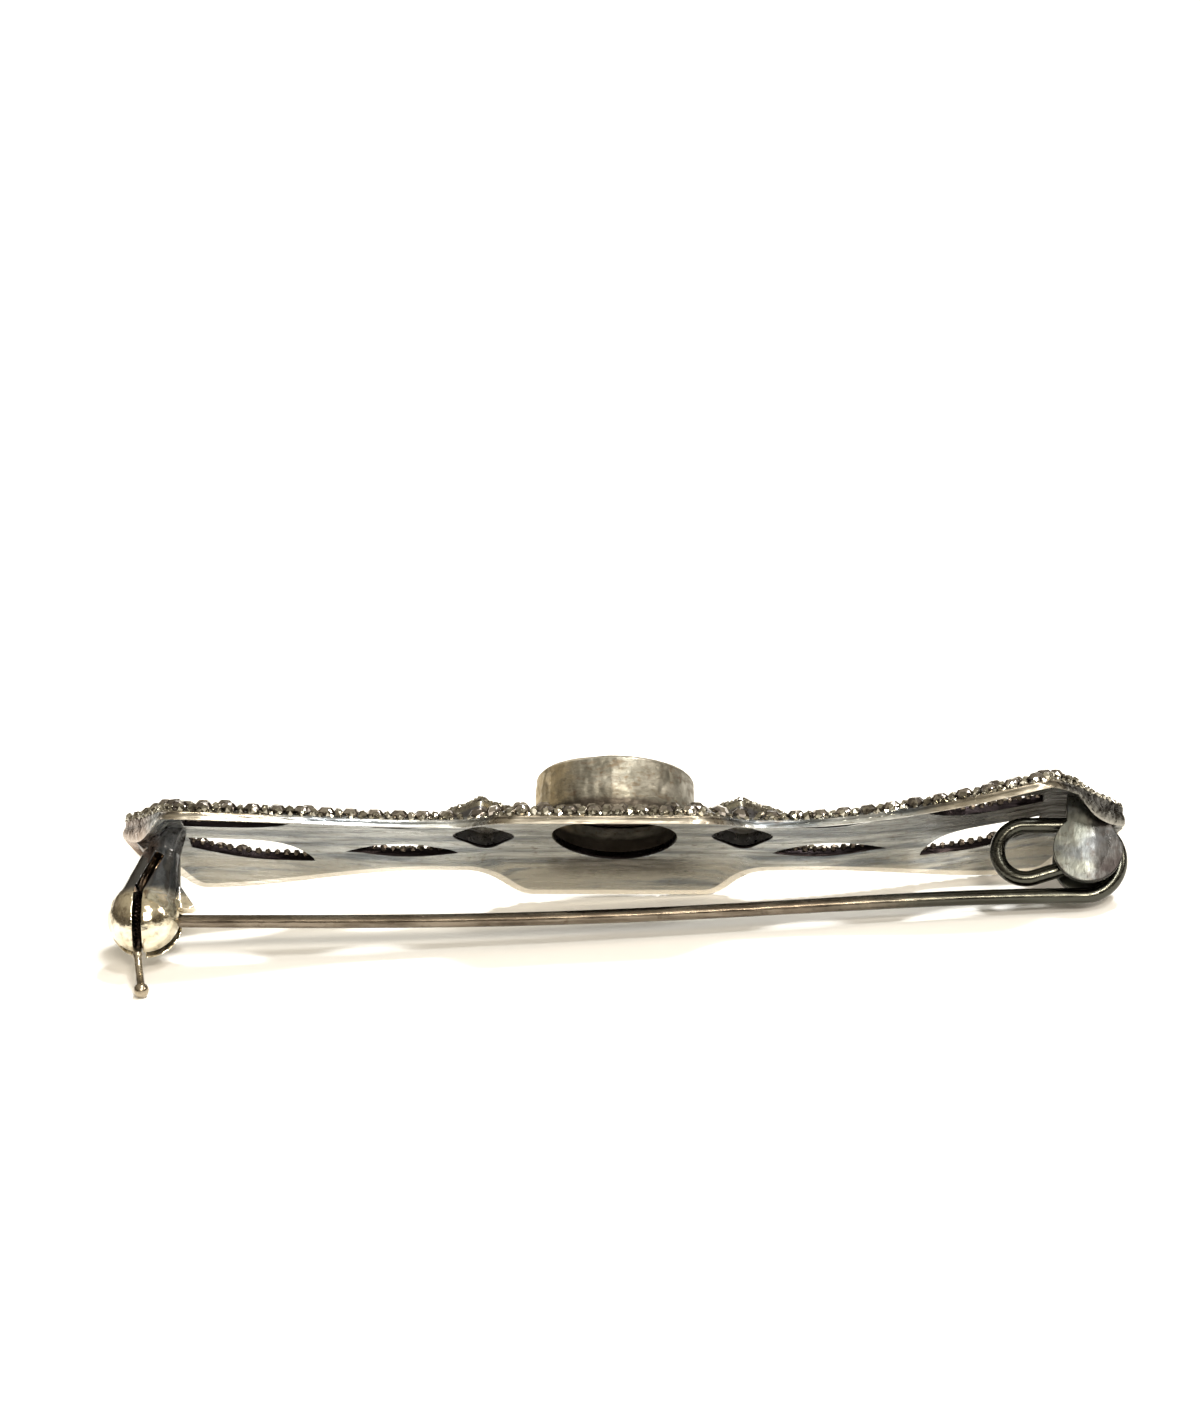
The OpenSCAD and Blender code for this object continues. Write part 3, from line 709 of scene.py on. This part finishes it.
pearl_gloss = add(pearl_tree, "ShaderNodeMapRange", {"Value": pearl_height, "From Min": DULL_FROM,
                  "From Max": DULL_BELOW, "To Min": 0.16, "To Max": 0.6}, interpolation_type="SMOOTHSTEP")
pearl_tree.links.new(pearl_gloss.outputs["Result"], pearl_shader.inputs["Roughness"])
pearl_shader.inputs["IOR"].default_value = 1.55
pearl_shader.inputs["Coat Weight"].default_value = 0.6
pearl_shader.inputs["Coat Roughness"].default_value = 0.06

PEARL_R, PEARL_EDGE_H, PEARL_DOME_H = 3.96, 1.1, 0.5


def stone_mesh():
    made = bmesh.new()
    base_z = SEAT_Z + 0.03
    edge_z = base_z + PEARL_EDGE_H
    rings = [(PEARL_R - 0.1, base_z), (PEARL_R - 0.01, base_z + 0.08), (PEARL_R - 0.01, edge_z - 0.12),
             (PEARL_R - 0.06, edge_z)]
    n = 14
    for i in range(1, n):
        share = 1 - i / n
        rings.append(((PEARL_R - 0.06) * share, edge_z - 0.01 + (PEARL_DOME_H - 0.02) * (1 - share ** 2)))
    lofted(made, [[(COLLAR_X + r * math.cos(math.tau * i / TURNS), r * math.sin(math.tau * i / TURNS), z)
                   for i in range(TURNS)] for r, z in rings])
    return made


stone = dressed("round_stone", stone_mesh(), pearl, "brooch")
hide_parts("mother_of_pearl")


# The catch's ball and its neck
# Cast in one piece with a sawn slit for the lever, drilled for the barrel, filed to a taper and soldered
# under the left point. It is a warmer silver, polished by handling.
CATCH_X, CATCH_Z, CATCH_R = -25.58, -4.82, 2.1
SLIT_X, SLIT_W, SLIT_LEAN, SLIT_TOP_Z = -25.8, 0.5, math.radians(24), -0.95
BORE_R, BORE_HALF_L, PIN_HOLE_R, PIN_GAP, FLANGE_R = 1.25, 1.21, 0.7, 1.0, 1.55
NECK_LEAN, NECK_R, NECK_L = math.radians(12), (2.02, 1.0), (3.9, 5.3)
SLIT_DEPTH_Y = 0.35
BRACKET_HALF_W = 0.75
BRACKET = ((-26.45, 0.3), (-26.4, -0.35), (-25.87, -0.91), (-24.15, -0.85), (-23.6, 0.25))
FIN_HALF_W = 0.5
FIN = ((-24.6, -2.6), (-23.95, -2.6), (-22.85, -4.15), (-23.3, -4.45), (-24.6, -4.45))
catch_silver = silver("worn_silver_catch", "#f1e9d8", "#c9c0a8", "#6b5842", (2.2, 2.2, 2.2), (0.1, 0.26),
                      0.02, ((0.8, 0.8, 0.8), 0.12), (("#5e5f61", FULL, ("Z", -4.0, -3.2)),))


def solid(name, made):
    """A scratch object in brooch millimetres, for adding to or cutting from another."""
    data = bpy.data.meshes.new(name)
    bmesh.ops.recalc_face_normals(made, faces=made.faces)
    made.to_mesh(data)
    made.free()
    scratch = bpy.data.objects.new(name, data)
    bpy.context.scene.collection.objects.link(scratch)
    return scratch


def ball(centre, radius, segments=64):
    made = bmesh.new()
    bmesh.ops.create_uvsphere(made, u_segments=segments, v_segments=segments // 2, radius=radius,
                              matrix=Matrix.Translation(centre))
    return made


def rod(start, turn, radii, length, segments=64):
    """A round rod or cone from start, along Z as turned by turn."""
    made = bmesh.new()
    bmesh.ops.create_cone(made, cap_ends=True, segments=segments, radius1=radii[0], radius2=radii[1],
                          depth=length, matrix=Matrix.Translation(start) @ turn
                          @ Matrix.Translation((0, 0, length / 2)))
    return made


def block(low, high, turn=None):
    """A box from its low to its high corner, then turned if asked."""
    made = bmesh.new()
    size = [b - a for a, b in zip(low, high)]
    middle = Vector([(a + b) / 2 for a, b in zip(low, high)])
    bmesh.ops.create_cube(made, size=1, matrix=Matrix.Translation(middle) @ Matrix.Diagonal((*size, 1)))
    if turn is not None:
        bmesh.ops.transform(made, matrix=turn, verts=made.verts)
    return made


def prism(outline, half_w, y=0.0):
    """An outline of [x, z], as thick as twice half_w along Y."""
    made = bmesh.new()
    lofted(made, [[(x, y + side * half_w, z) for x, z in outline] for side in (-1, 1)])
    return made


def about(point, angle, axis):
    """A turn about an axis through a point."""
    return Matrix.Translation(point) @ Matrix.Rotation(angle, 4, axis) @ Matrix.Translation(-Vector(point))


def carved(name, base, added, cut, voxel, passes):
    """Base with the added solids joined on and the cut ones taken away, its edges worn round."""
    body = solid(name, base)
    scratch = []
    for operation, parts in (("UNION", added), ("DIFFERENCE", cut)):
        for part in parts:
            other = solid(name + "_part", part)
            scratch.append(other)
            step = body.modifiers.new(operation.lower(), "BOOLEAN")
            step.operation = operation
            step.object = other
            step.solver = "EXACT"
    wear = body.modifiers.new("wear", "REMESH")
    wear.mode = "VOXEL"
    wear.voxel_size = voxel
    soften = body.modifiers.new("soften", "SMOOTH")
    soften.factor = 0.5
    soften.iterations = passes
    bpy.context.view_layer.update()
    result = bpy.data.meshes.new_from_object(body.evaluated_get(bpy.context.evaluated_depsgraph_get()))
    for other in [body, *scratch]:
        bpy.data.objects.remove(other)
    made = bmesh.new()
    made.from_mesh(result)
    bpy.data.meshes.remove(result)
    return made


Z_TO_X = Matrix.Rotation(math.pi / 2, 4, "Y")
neck_turn = Matrix.Rotation(NECK_LEAN, 4, "Y")
catch_centre = Vector((CATCH_X, 0, CATCH_Z))
slit_foot = Vector((SLIT_X - SLIT_W / 2, 0, CATCH_Z + FLANGE_R - SLIT_W / 2))
upper_slit_l = (SLIT_TOP_Z - CATCH_Z - FLANGE_R) / math.cos(SLIT_LEAN)
catch_mesh = carved(
    "catch",
    ball(catch_centre, CATCH_R),
    [rod(catch_centre, neck_turn, NECK_R, NECK_L[0]),
     rod(catch_centre, neck_turn, (NECK_R[1], NECK_R[1] - 0.02), NECK_L[1]),
     prism(BRACKET, BRACKET_HALF_W), prism(FIN, FIN_HALF_W)],
    [rod((SLIT_X - BORE_HALF_L, 0, CATCH_Z), Z_TO_X, (BORE_R, BORE_R), 2 * BORE_HALF_L),
     rod((SLIT_X - 2 * CATCH_R, 0, CATCH_Z), Z_TO_X, (PIN_HOLE_R, PIN_HOLE_R), 4 * CATCH_R),
     block((CATCH_X - 2 * CATCH_R, -PIN_GAP / 2, CATCH_Z - 2 * CATCH_R),
           (CATCH_X + 2 * CATCH_R, PIN_GAP / 2, CATCH_Z)),
     block((SLIT_X - SLIT_W / 2, -2 * CATCH_R, CATCH_Z - 2 * CATCH_R),
           (SLIT_X + SLIT_W / 2, 2 * CATCH_R, CATCH_Z + FLANGE_R + 0.06)),
     block((slit_foot.x, -2 * CATCH_R, slit_foot.z),
           (slit_foot.x + SLIT_W, SLIT_DEPTH_Y, slit_foot.z + upper_slit_l),
           about(slit_foot, SLIT_LEAN, "Y"))],
    voxel=0.05, passes=3)
catch = dressed("catch_ball", catch_mesh, catch_silver, "brooch", math.radians(60))
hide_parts("silver_frame")


# The hinge
# Two ears of thick sheet, joined by a strip under the plate, with a rivet filed flush at both ends. The
# outer face of each ear is filed off towards its right. The silver is dark grey, and the filed-off part is
# painted nearly black, as painted shade.
EAR_R, EAR_INNER_Y, EAR_T = 1.9, 1.0, 0.5
EAR_LEFT_X, EAR_TOP_X, EAR_FOLD_X = 24.8, 26.5, 26.15
EAR_FALL, EAR_ARC_END = 0.17, math.radians(369)
BRIDGE_T, RIVET_R = 0.35, 0.36
hinge_silver = silver("tarnished_silver_hinge", "#6b6d67", "#585b5d", "#453d36", (2.2, 3, 1.1), (0.26, 0.42),
                      0.02, ((0.6, 0.6, 0.6), 0.06), (("#2b2726", (0.7, 1), ("X", 25.5, 26.7)),))


def ear_outline():
    first = math.acos((EAR_LEFT_X - HINGE_X) / EAR_R)
    n = 48
    turns = [along(first, EAR_ARC_END, i / n) for i in range(n + 1)]
    arc = [(HINGE_X + EAR_R * math.cos(a), HINGE_Z + EAR_R * math.sin(a)) for a in turns]
    return arc + [(EAR_TOP_X, back_z(EAR_TOP_X, 0) + 0.15), (EAR_LEFT_X, back_z(EAR_LEFT_X, 0) + 0.15)]


def hinge_mesh():
    made = bmesh.new()
    for side in (-1, 1):
        ear = prism(ear_outline(), EAR_T / 2, side * (EAR_INNER_Y + EAR_T / 2))
        cut = ear.verts[:] + ear.edges[:] + ear.faces[:]
        bmesh.ops.bisect_plane(ear, geom=cut, plane_co=(EAR_FOLD_X, 0, 0), plane_no=(1, 0, 0))
        for v in ear.verts:
            if v.co.x > EAR_FOLD_X + 0.01 and abs(v.co.y) > EAR_INNER_Y + EAR_T / 2:
                v.co.y -= side * EAR_FALL * (v.co.x - EAR_FOLD_X)
        sharp = [e for e in ear.edges if len(e.link_faces) == 2 and e.calc_face_angle(0) > math.radians(30)]
        bmesh.ops.bevel(ear, geom=sharp, offset=0.06, segments=3, profile=0.6, affect="EDGES",
                        clamp_overlap=True)
        scratch = bpy.data.meshes.new("ear")
        ear.to_mesh(scratch)
        ear.free()
        made.from_mesh(scratch)
        bpy.data.meshes.remove(scratch)
    top_l, top_r = back_z(EAR_LEFT_X, 0), back_z(EAR_TOP_X, 0)
    strip = [(EAR_LEFT_X, top_l - BRIDGE_T), (EAR_TOP_X, top_r - BRIDGE_T), (EAR_TOP_X, top_r + 0.25),
             (EAR_LEFT_X, top_l + 0.25)]
    lofted(made, [[(x, side * (EAR_INNER_Y + 0.1), z) for x, z in strip] for side in (-1, 1)])
    rivet_end = EAR_INNER_Y + EAR_T - 0.03
    turns = [math.tau * i / 32 for i in range(32)]
    lofted(made, [[(HINGE_X + RIVET_R * math.cos(a), y, HINGE_Z + RIVET_R * math.sin(a)) for a in turns]
                  for y in (-rivet_end, rivet_end)])
    return made


hinge = dressed("hinge_ears", hinge_mesh(), hinge_silver, "brooch")
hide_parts("silver_frame")


# The pin
# One drawn wire of hard nickel silver, tapered to its point, wrapped round under the hinge, looped once as a
# spring and ended in an eye on the rivet. It is brown with age and has fine draw lines along it, set at
# 0.11 mm so that they show.
PIN_LOW_Z, PIN_RISE, PIN_RISE_X = -4.9, 1.57, -22
POINT_X, POINT_L, POINT_R, WIRE_R = -27.2, 1.3, 0.36, 0.43
WRAP_R, LOOP_R, LOOP_END = 2.0, 1.52, math.radians(18)
WRAP_C = (25.7, PIN_LOW_Z + PIN_RISE + WRAP_R)
LOOP_C = (22.57, WRAP_C[1] + WRAP_R - LOOP_R)
TAIL_X = 25.35
EYE_R, EYE_BORE_R, EYE_HALF_W = 0.85, 0.42, 0.88
pin_metal = silver("drawn_nickel_silver_wire", "#7f7568", "#61584d", "#403730", (0.5, 9, 9), (0.14, 0.3),
                   0.01, zones=(("#45443e", FULL, ("X", 9, 19)), ("#45453f", FULL, ("X", 20.4, 21.4))))


def pin_path():
    """Places of the wire's middle and its radius there, as [x, z, radius]."""
    def stem(x):
        t = min(max((x - PIN_RISE_X) / (WRAP_C[0] - PIN_RISE_X), 0), 1)
        z = PIN_LOW_Z + PIN_RISE * (1 - math.cos(math.pi * t ** 1.5)) / 2
        if x < POINT_X + POINT_L:
            return x, z, along(0.1, POINT_R, (x - POINT_X) / POINT_L)
        return x, z, along(POINT_R, WIRE_R, (x - POINT_X) / (WRAP_C[0] - POINT_X))

    n = 160
    path = [stem(along(POINT_X, WRAP_C[0], i / n)) for i in range(n)]
    for i in range(41):
        a = math.radians(along(-90, 90, i / 40))
        path.append((WRAP_C[0] + WRAP_R * math.cos(a), WRAP_C[1] + WRAP_R * math.sin(a), WIRE_R))
    for i in range(49):
        a = along(math.pi / 2, 3 * math.pi / 2 + LOOP_END, i / 48)
        path.append((LOOP_C[0] + LOOP_R * math.cos(a), LOOP_C[1] + LOOP_R * math.sin(a), WIRE_R))
    end = path[-1]
    for i in range(1, 9):
        x = along(end[0], TAIL_X, i / 8)
        path.append((x, end[1] + (x - end[0]) * math.tan(LOOP_END), WIRE_R))
    return path


def pin_mesh():
    path = pin_path()
    rings, sides = [], 28
    for i, (x, z, r) in enumerate(path):
        (ax, az, _), (bx, bz, _) = path[max(i - 1, 0)], path[min(i + 1, len(path) - 1)]
        heading = Vector((bx - ax, 0, bz - az)).normalized()
        side = Vector((-heading.z, 0, heading.x))
        turns = [math.tau * k / sides for k in range(sides)]
        rings.append([Vector((x, 0, z)) + (side * math.cos(a) + Vector((0, 1, 0)) * math.sin(a)) * (r - SKIN)
                      for a in turns])
    made = bmesh.new()
    lofted(made, rings)
    profile = ((EYE_BORE_R, 0.05), (EYE_BORE_R + 0.06, 0), (EYE_R - 0.08, 0), (EYE_R - SKIN, 0.08))
    rings = []
    for side in (-1, 1):
        part = [(r, side * (EYE_HALF_W - inward)) for r, inward in profile]
        rings += part if side < 0 else part[::-1]
    loops = [[(HINGE_X + r * math.cos(math.tau * k / 40), y, HINGE_Z + r * math.sin(math.tau * k / 40))
              for k in range(40)] for r, y in rings + rings[:1]]
    lofted(made, loops, (False, False))
    bmesh.ops.remove_doubles(made, verts=made.verts, dist=1e-4)
    return made


pin = dressed("pin_wire", pin_mesh(), pin_metal, "pin")
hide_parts("pin_stem")


# The catch's barrel and lever
# A turned barrel with an open side, and a wire lever soldered into its flange. It keeps its solid's form,
# with the facets smoothed. Its silver is mottled bright and grey, and the barrel and flange inside the ball
# are painted black, as painted shade.
lever_metal = silver("worn_silver_lever", "#bdb3a1", "#958a78", "#3f352b", (2, 2, 2), (0.2, 0.36), 0.01,
                     zones=(("#1d1816", FULL, ("Z", -6.9, -6.5)),))
merged = bmesh.new()
merged.from_mesh(frame["nodes"]["catch_rotor"].data)
bmesh.ops.remove_doubles(merged, verts=merged.verts, dist=1e-7)
bmesh.ops.transform(merged, matrix=BROOCH_TO_ROW.inverted(), verts=merged.verts)
rotor = dressed("barrel_and_lever", merged, lever_metal, "catch", math.radians(35))
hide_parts("catch_rotor")


# The marcasites
# Small cut stones of grey pyrite with a polished, metallic face. Each one has its own tone, and dust and
# polish have darkened some.
pyrite, pyrite_tree, pyrite_shader = new_material("cut_pyrite_polished")
pyrite_place = brooch_millimetres(pyrite_tree)
tones = add(pyrite_tree, "ShaderNodeTexVoronoi", {"Vector": pyrite_place, "Scale": 0.75})
tone_of_stone = add(pyrite_tree, "ShaderNodeSeparateXYZ", {"Vector": tones.outputs["Color"]}).outputs["X"]
pyrite_colour = tinted(pyrite_tree, "#a39c95", "#68625d", tone_of_stone, 0.2, 0.9)
pyrite_tree.links.new(pyrite_colour, pyrite_shader.inputs["Base Color"])
pyrite_shader.inputs["Metallic"].default_value = 1
pyrite_gloss = add(pyrite_tree, "ShaderNodeMapRange", {"Value": tone_of_stone, "To Min": 0.08,
                   "To Max": 0.24}, interpolation_type="SMOOTHSTEP")
pyrite_tree.links.new(pyrite_gloss.outputs["Result"], pyrite_shader.inputs["Roughness"])
pyrite_waves = mottling(pyrite_tree, pyrite_place, (1.1, 1.1, 1.1), 1)
pyrite_bump = add(pyrite_tree, "ShaderNodeBump", {"Height": pyrite_waves, "Distance": 0.35 * MM,
                  "Strength": 1})
pyrite_tree.links.new(pyrite_bump.outputs["Normal"], pyrite_shader.inputs["Normal"])
stones = frame["nodes"]["marcasites"]
stones.data.materials.clear()
stones.data.materials.append(pyrite)


# Grains and beaded edges
# Each stone is held by grains of the plate's own silver, raised with a graver and rounded with a hollow
# punch, and rubbed bright. The edges are rolled with a wheel that leaves a row of fine beads. In the
# openings the beads are duller and painted dark brown, as painted shade.
def beads_tree(name, follow_edges):
    """A tree that sets round beads on the points of a mesh, or evenly along its edges."""
    tree = bpy.data.node_groups.new(name, "GeometryNodeTree")
    face = tree.interface
    face.new_socket("Geometry", in_out="INPUT", socket_type="NodeSocketGeometry")
    for label, value in (("Bead radius", 0.2), ("Spacing", 0.5), ("Size spread", 0.15), ("Flatness", 0.8)):
        face.new_socket(label, in_out="INPUT", socket_type="NodeSocketFloat").default_value = value
    face.new_socket("Seed", in_out="INPUT", socket_type="NodeSocketInt").default_value = 7
    face.new_socket("Metal", in_out="INPUT", socket_type="NodeSocketMaterial")
    face.new_socket("Geometry", in_out="OUTPUT", socket_type="NodeSocketGeometry")
    given = add(tree, "NodeGroupInput").outputs
    points = given["Geometry"]
    if follow_edges:
        curve = add(tree, "GeometryNodeMeshToCurve", {"Mesh": points})
        points = add(tree, "GeometryNodeResampleCurve", {"Curve": curve.outputs["Curve"],
                     "Length": given["Spacing"]}, mode="LENGTH").outputs["Curve"]
    round_bead = add(tree, "GeometryNodeMeshIcoSphere", {"Radius": given["Bead radius"], "Subdivisions": 1})
    smallest = add(tree, "ShaderNodeMath", {0: 1.0, 1: given["Size spread"]}, operation="SUBTRACT")
    largest = add(tree, "ShaderNodeMath", {0: 1.0, 1: given["Size spread"]}, operation="ADD")
    size = add(tree, "FunctionNodeRandomValue", {2: smallest.outputs[0], 3: largest.outputs[0],
               "Seed": given["Seed"]}, data_type="FLOAT")
    low = add(tree, "ShaderNodeMath", {0: size.outputs[1], 1: given["Flatness"]}, operation="MULTIPLY")
    scale = add(tree, "ShaderNodeCombineXYZ", {"X": size.outputs[1], "Y": size.outputs[1],
                "Z": low.outputs[0]})
    turn = add(tree, "FunctionNodeRandomValue", {0: (0, 0, 0), 1: (math.tau, math.tau, math.tau),
               "Seed": given["Seed"]}, data_type="FLOAT_VECTOR")
    set_beads = add(tree, "GeometryNodeInstanceOnPoints", {"Points": points,
                    "Instance": round_bead.outputs["Mesh"], "Scale": scale.outputs[0],
                    "Rotation": turn.outputs[0]})
    real = add(tree, "GeometryNodeRealizeInstances", {"Geometry": set_beads.outputs["Instances"]})
    finished = add(tree, "GeometryNodeSetMaterial", {"Geometry": real.outputs["Geometry"],
                   "Material": given["Metal"]})
    out = add(tree, "NodeGroupOutput")
    tree.links.new(finished.outputs["Geometry"], out.inputs["Geometry"])
    return tree


def beaded(name, points, edges, tree, metal, body, slot, **sizes):
    """A piece of beads on points, in brooch millimetres, made plain mesh and set in its place."""
    data = bpy.data.meshes.new(name)
    data.from_pydata(points, edges, [])
    path = bpy.data.objects.new(name, data)
    bpy.context.scene.collection.objects.link(path)
    setting = path.modifiers.new("beads", "NODES")
    setting.node_group = tree
    values = {"Metal": metal, **{key.replace("_", " ").capitalize(): value for key, value in sizes.items()}}
    for item in tree.interface.items_tree:
        if item.in_out == "INPUT" and item.name in values:
            setting[item.identifier] = values[item.name]
    bpy.context.view_layer.update()
    result = bpy.data.meshes.new_from_object(path.evaluated_get(bpy.context.evaluated_depsgraph_get()))
    bpy.data.objects.remove(path)
    made = bmesh.new()
    made.from_mesh(result)
    bpy.data.meshes.remove(result)
    dressed(name, made, metal, body, math.radians(5))


STONE_PITCH, ROW_INSET = 1.3, 0.7
FIRST_ARM_STONE_X, FIRST_RIB_STONE_X = 8.85, 10.4
GRAIN_OUT, GRAIN_LIFT = 0.44, 0.14
bead_silver = silver("tarnished_silver_grains", "#bdb9ad", "#8d897d", "#4a443b", (4, 4, 4), (0.06, 0.2),
                     0.012)
# The beads in the openings get a darker copy of the bead silver, which is painted shade.
shaded_bead_silver = silver("bead_silver_in_painted_shade", "#6b6258", "#4a423b", "#2e2724", (4, 4, 4), (0.2, 0.4),
                       0.012)


def arm_stones():
    """The middles of the stones of one quarter's border rows, in order along each row. The last row follows
    the slanted edge of the point."""
    panel = [((i + 0.5) * STONE_PITCH, PANEL_W - ROW_INSET) for i in range(4)]
    places = [FIRST_ARM_STONE_X + i * STONE_PITCH for i in range(12)]
    arm = [(x, half_width(x) - ROW_INSET) for x in places]
    end = [(along(CORNER_X, LEFT_LENGTH, (i + 0.75) / 5) - 0.75, along(END_W, TIP_W, (i + 0.75) / 5) - 0.5)
           for i in range(4)]
    return [panel, arm, end]


def grain_points():
    """Grains on the sheet's front, outside each stone and on both sides of each gap between two, and two
    rows of grains round the top of each diamond."""
    made = []

    def grain(x, y, lift=0.0):
        if lift or between((x, y), plate_edge, holes):
            made.append((x, y, lift or front_z(x, y) + GRAIN_LIFT))

    for sx, sy in quarters:
        for row in arm_stones():
            first, last = Vector(row[0]), Vector(row[-1])
            step = (last - first) / (len(row) - 1)
            off = Vector((-step.y, step.x)).normalized() * GRAIN_OUT
            spots = [Vector(p) for p in row]
            gaps = [(a + b) / 2 for a, b in zip(spots, spots[1:])]
            gaps += [spots[0] - step / 2, spots[-1] + step / 2]
            for spot in gaps + spots:
                grain(sx * (spot.x + off.x), sy * (spot.y + off.y))
            for spot in gaps:
                grain(sx * (spot.x - 0.6 * off.x), sy * (spot.y - 0.6 * off.y))
    for s in (-1, 1):
        for i in range(14):
            x = FIRST_RIB_STONE_X + (i - 0.5) * STONE_PITCH
            for y in (-GRAIN_OUT, GRAIN_OUT):
                grain(s * x, y)
        for x, y in spaced(diamond_outline(0.24), 0.42):
            grain(s * DIAMOND_X + x, y, DIAMOND_H - 0.04)
        for x, y in spaced(diamond_outline(0.75), 0.5):
            grain(s * DIAMOND_X + x, y, DIAMOND_H + 0.08)
    return made


on_points = beads_tree("grains_on_points", False)
along_edges = beads_tree("beads_along_edges", True)
beaded("setting_grains", grain_points(), [], on_points, bead_silver, "brooch", "silver",
       bead_radius=0.24, size_spread=0.18, flatness=1.0, seed=3)


def beaded_loops(loops, inset, sink):
    """Loops of the sheet's front edge as points and edges, moved into the metal and sunk into its face."""
    points, edges = [], []
    for loop in loops:
        start = len(points)
        for i, (x, y) in enumerate(loop):
            nx, ny = outward(loop, i)
            at = (x - nx * inset, y - ny * inset)
            points.append((*at, front_z(*at) - sink))
            edges.append((start + i, start + (i + 1) % len(loop)))
    return points, edges


rolled = beaded_loops(slots + windows, 0.05, 0.02)
beaded("rolled_edge_of_openings", *rolled, along_edges, shaded_bead_silver, "brooch", "silver",
       bead_radius=0.21, spacing=0.54, size_spread=0.14, flatness=1.0, seed=11)
border_beads = beaded_loops([plate_edge], 0.27, 0.03)
beaded("rolled_edge_of_plate", *border_beads, along_edges, bead_silver, "brooch", "silver",
       bead_radius=0.2, spacing=0.55, size_spread=0.1, flatness=1.0, seed=5)

FOOT_WIRE_R = 4.55
turns = [math.tau * i / 120 for i in range(120)]
ring = [(COLLAR_X + FOOT_WIRE_R * math.cos(a), FOOT_WIRE_R * math.sin(a)) for a in turns]
ring_points = [(x, y, front_z(x, y) + 0.02) for x, y in ring]
ring_edges = [(i, (i + 1) % len(ring)) for i in range(len(ring))]
beaded("beaded_wire_round_collar", ring_points, ring_edges, along_edges, bead_silver, "brooch", "silver",
       bead_radius=0.17, spacing=0.34, size_spread=0.08, flatness=1.0, seed=2)
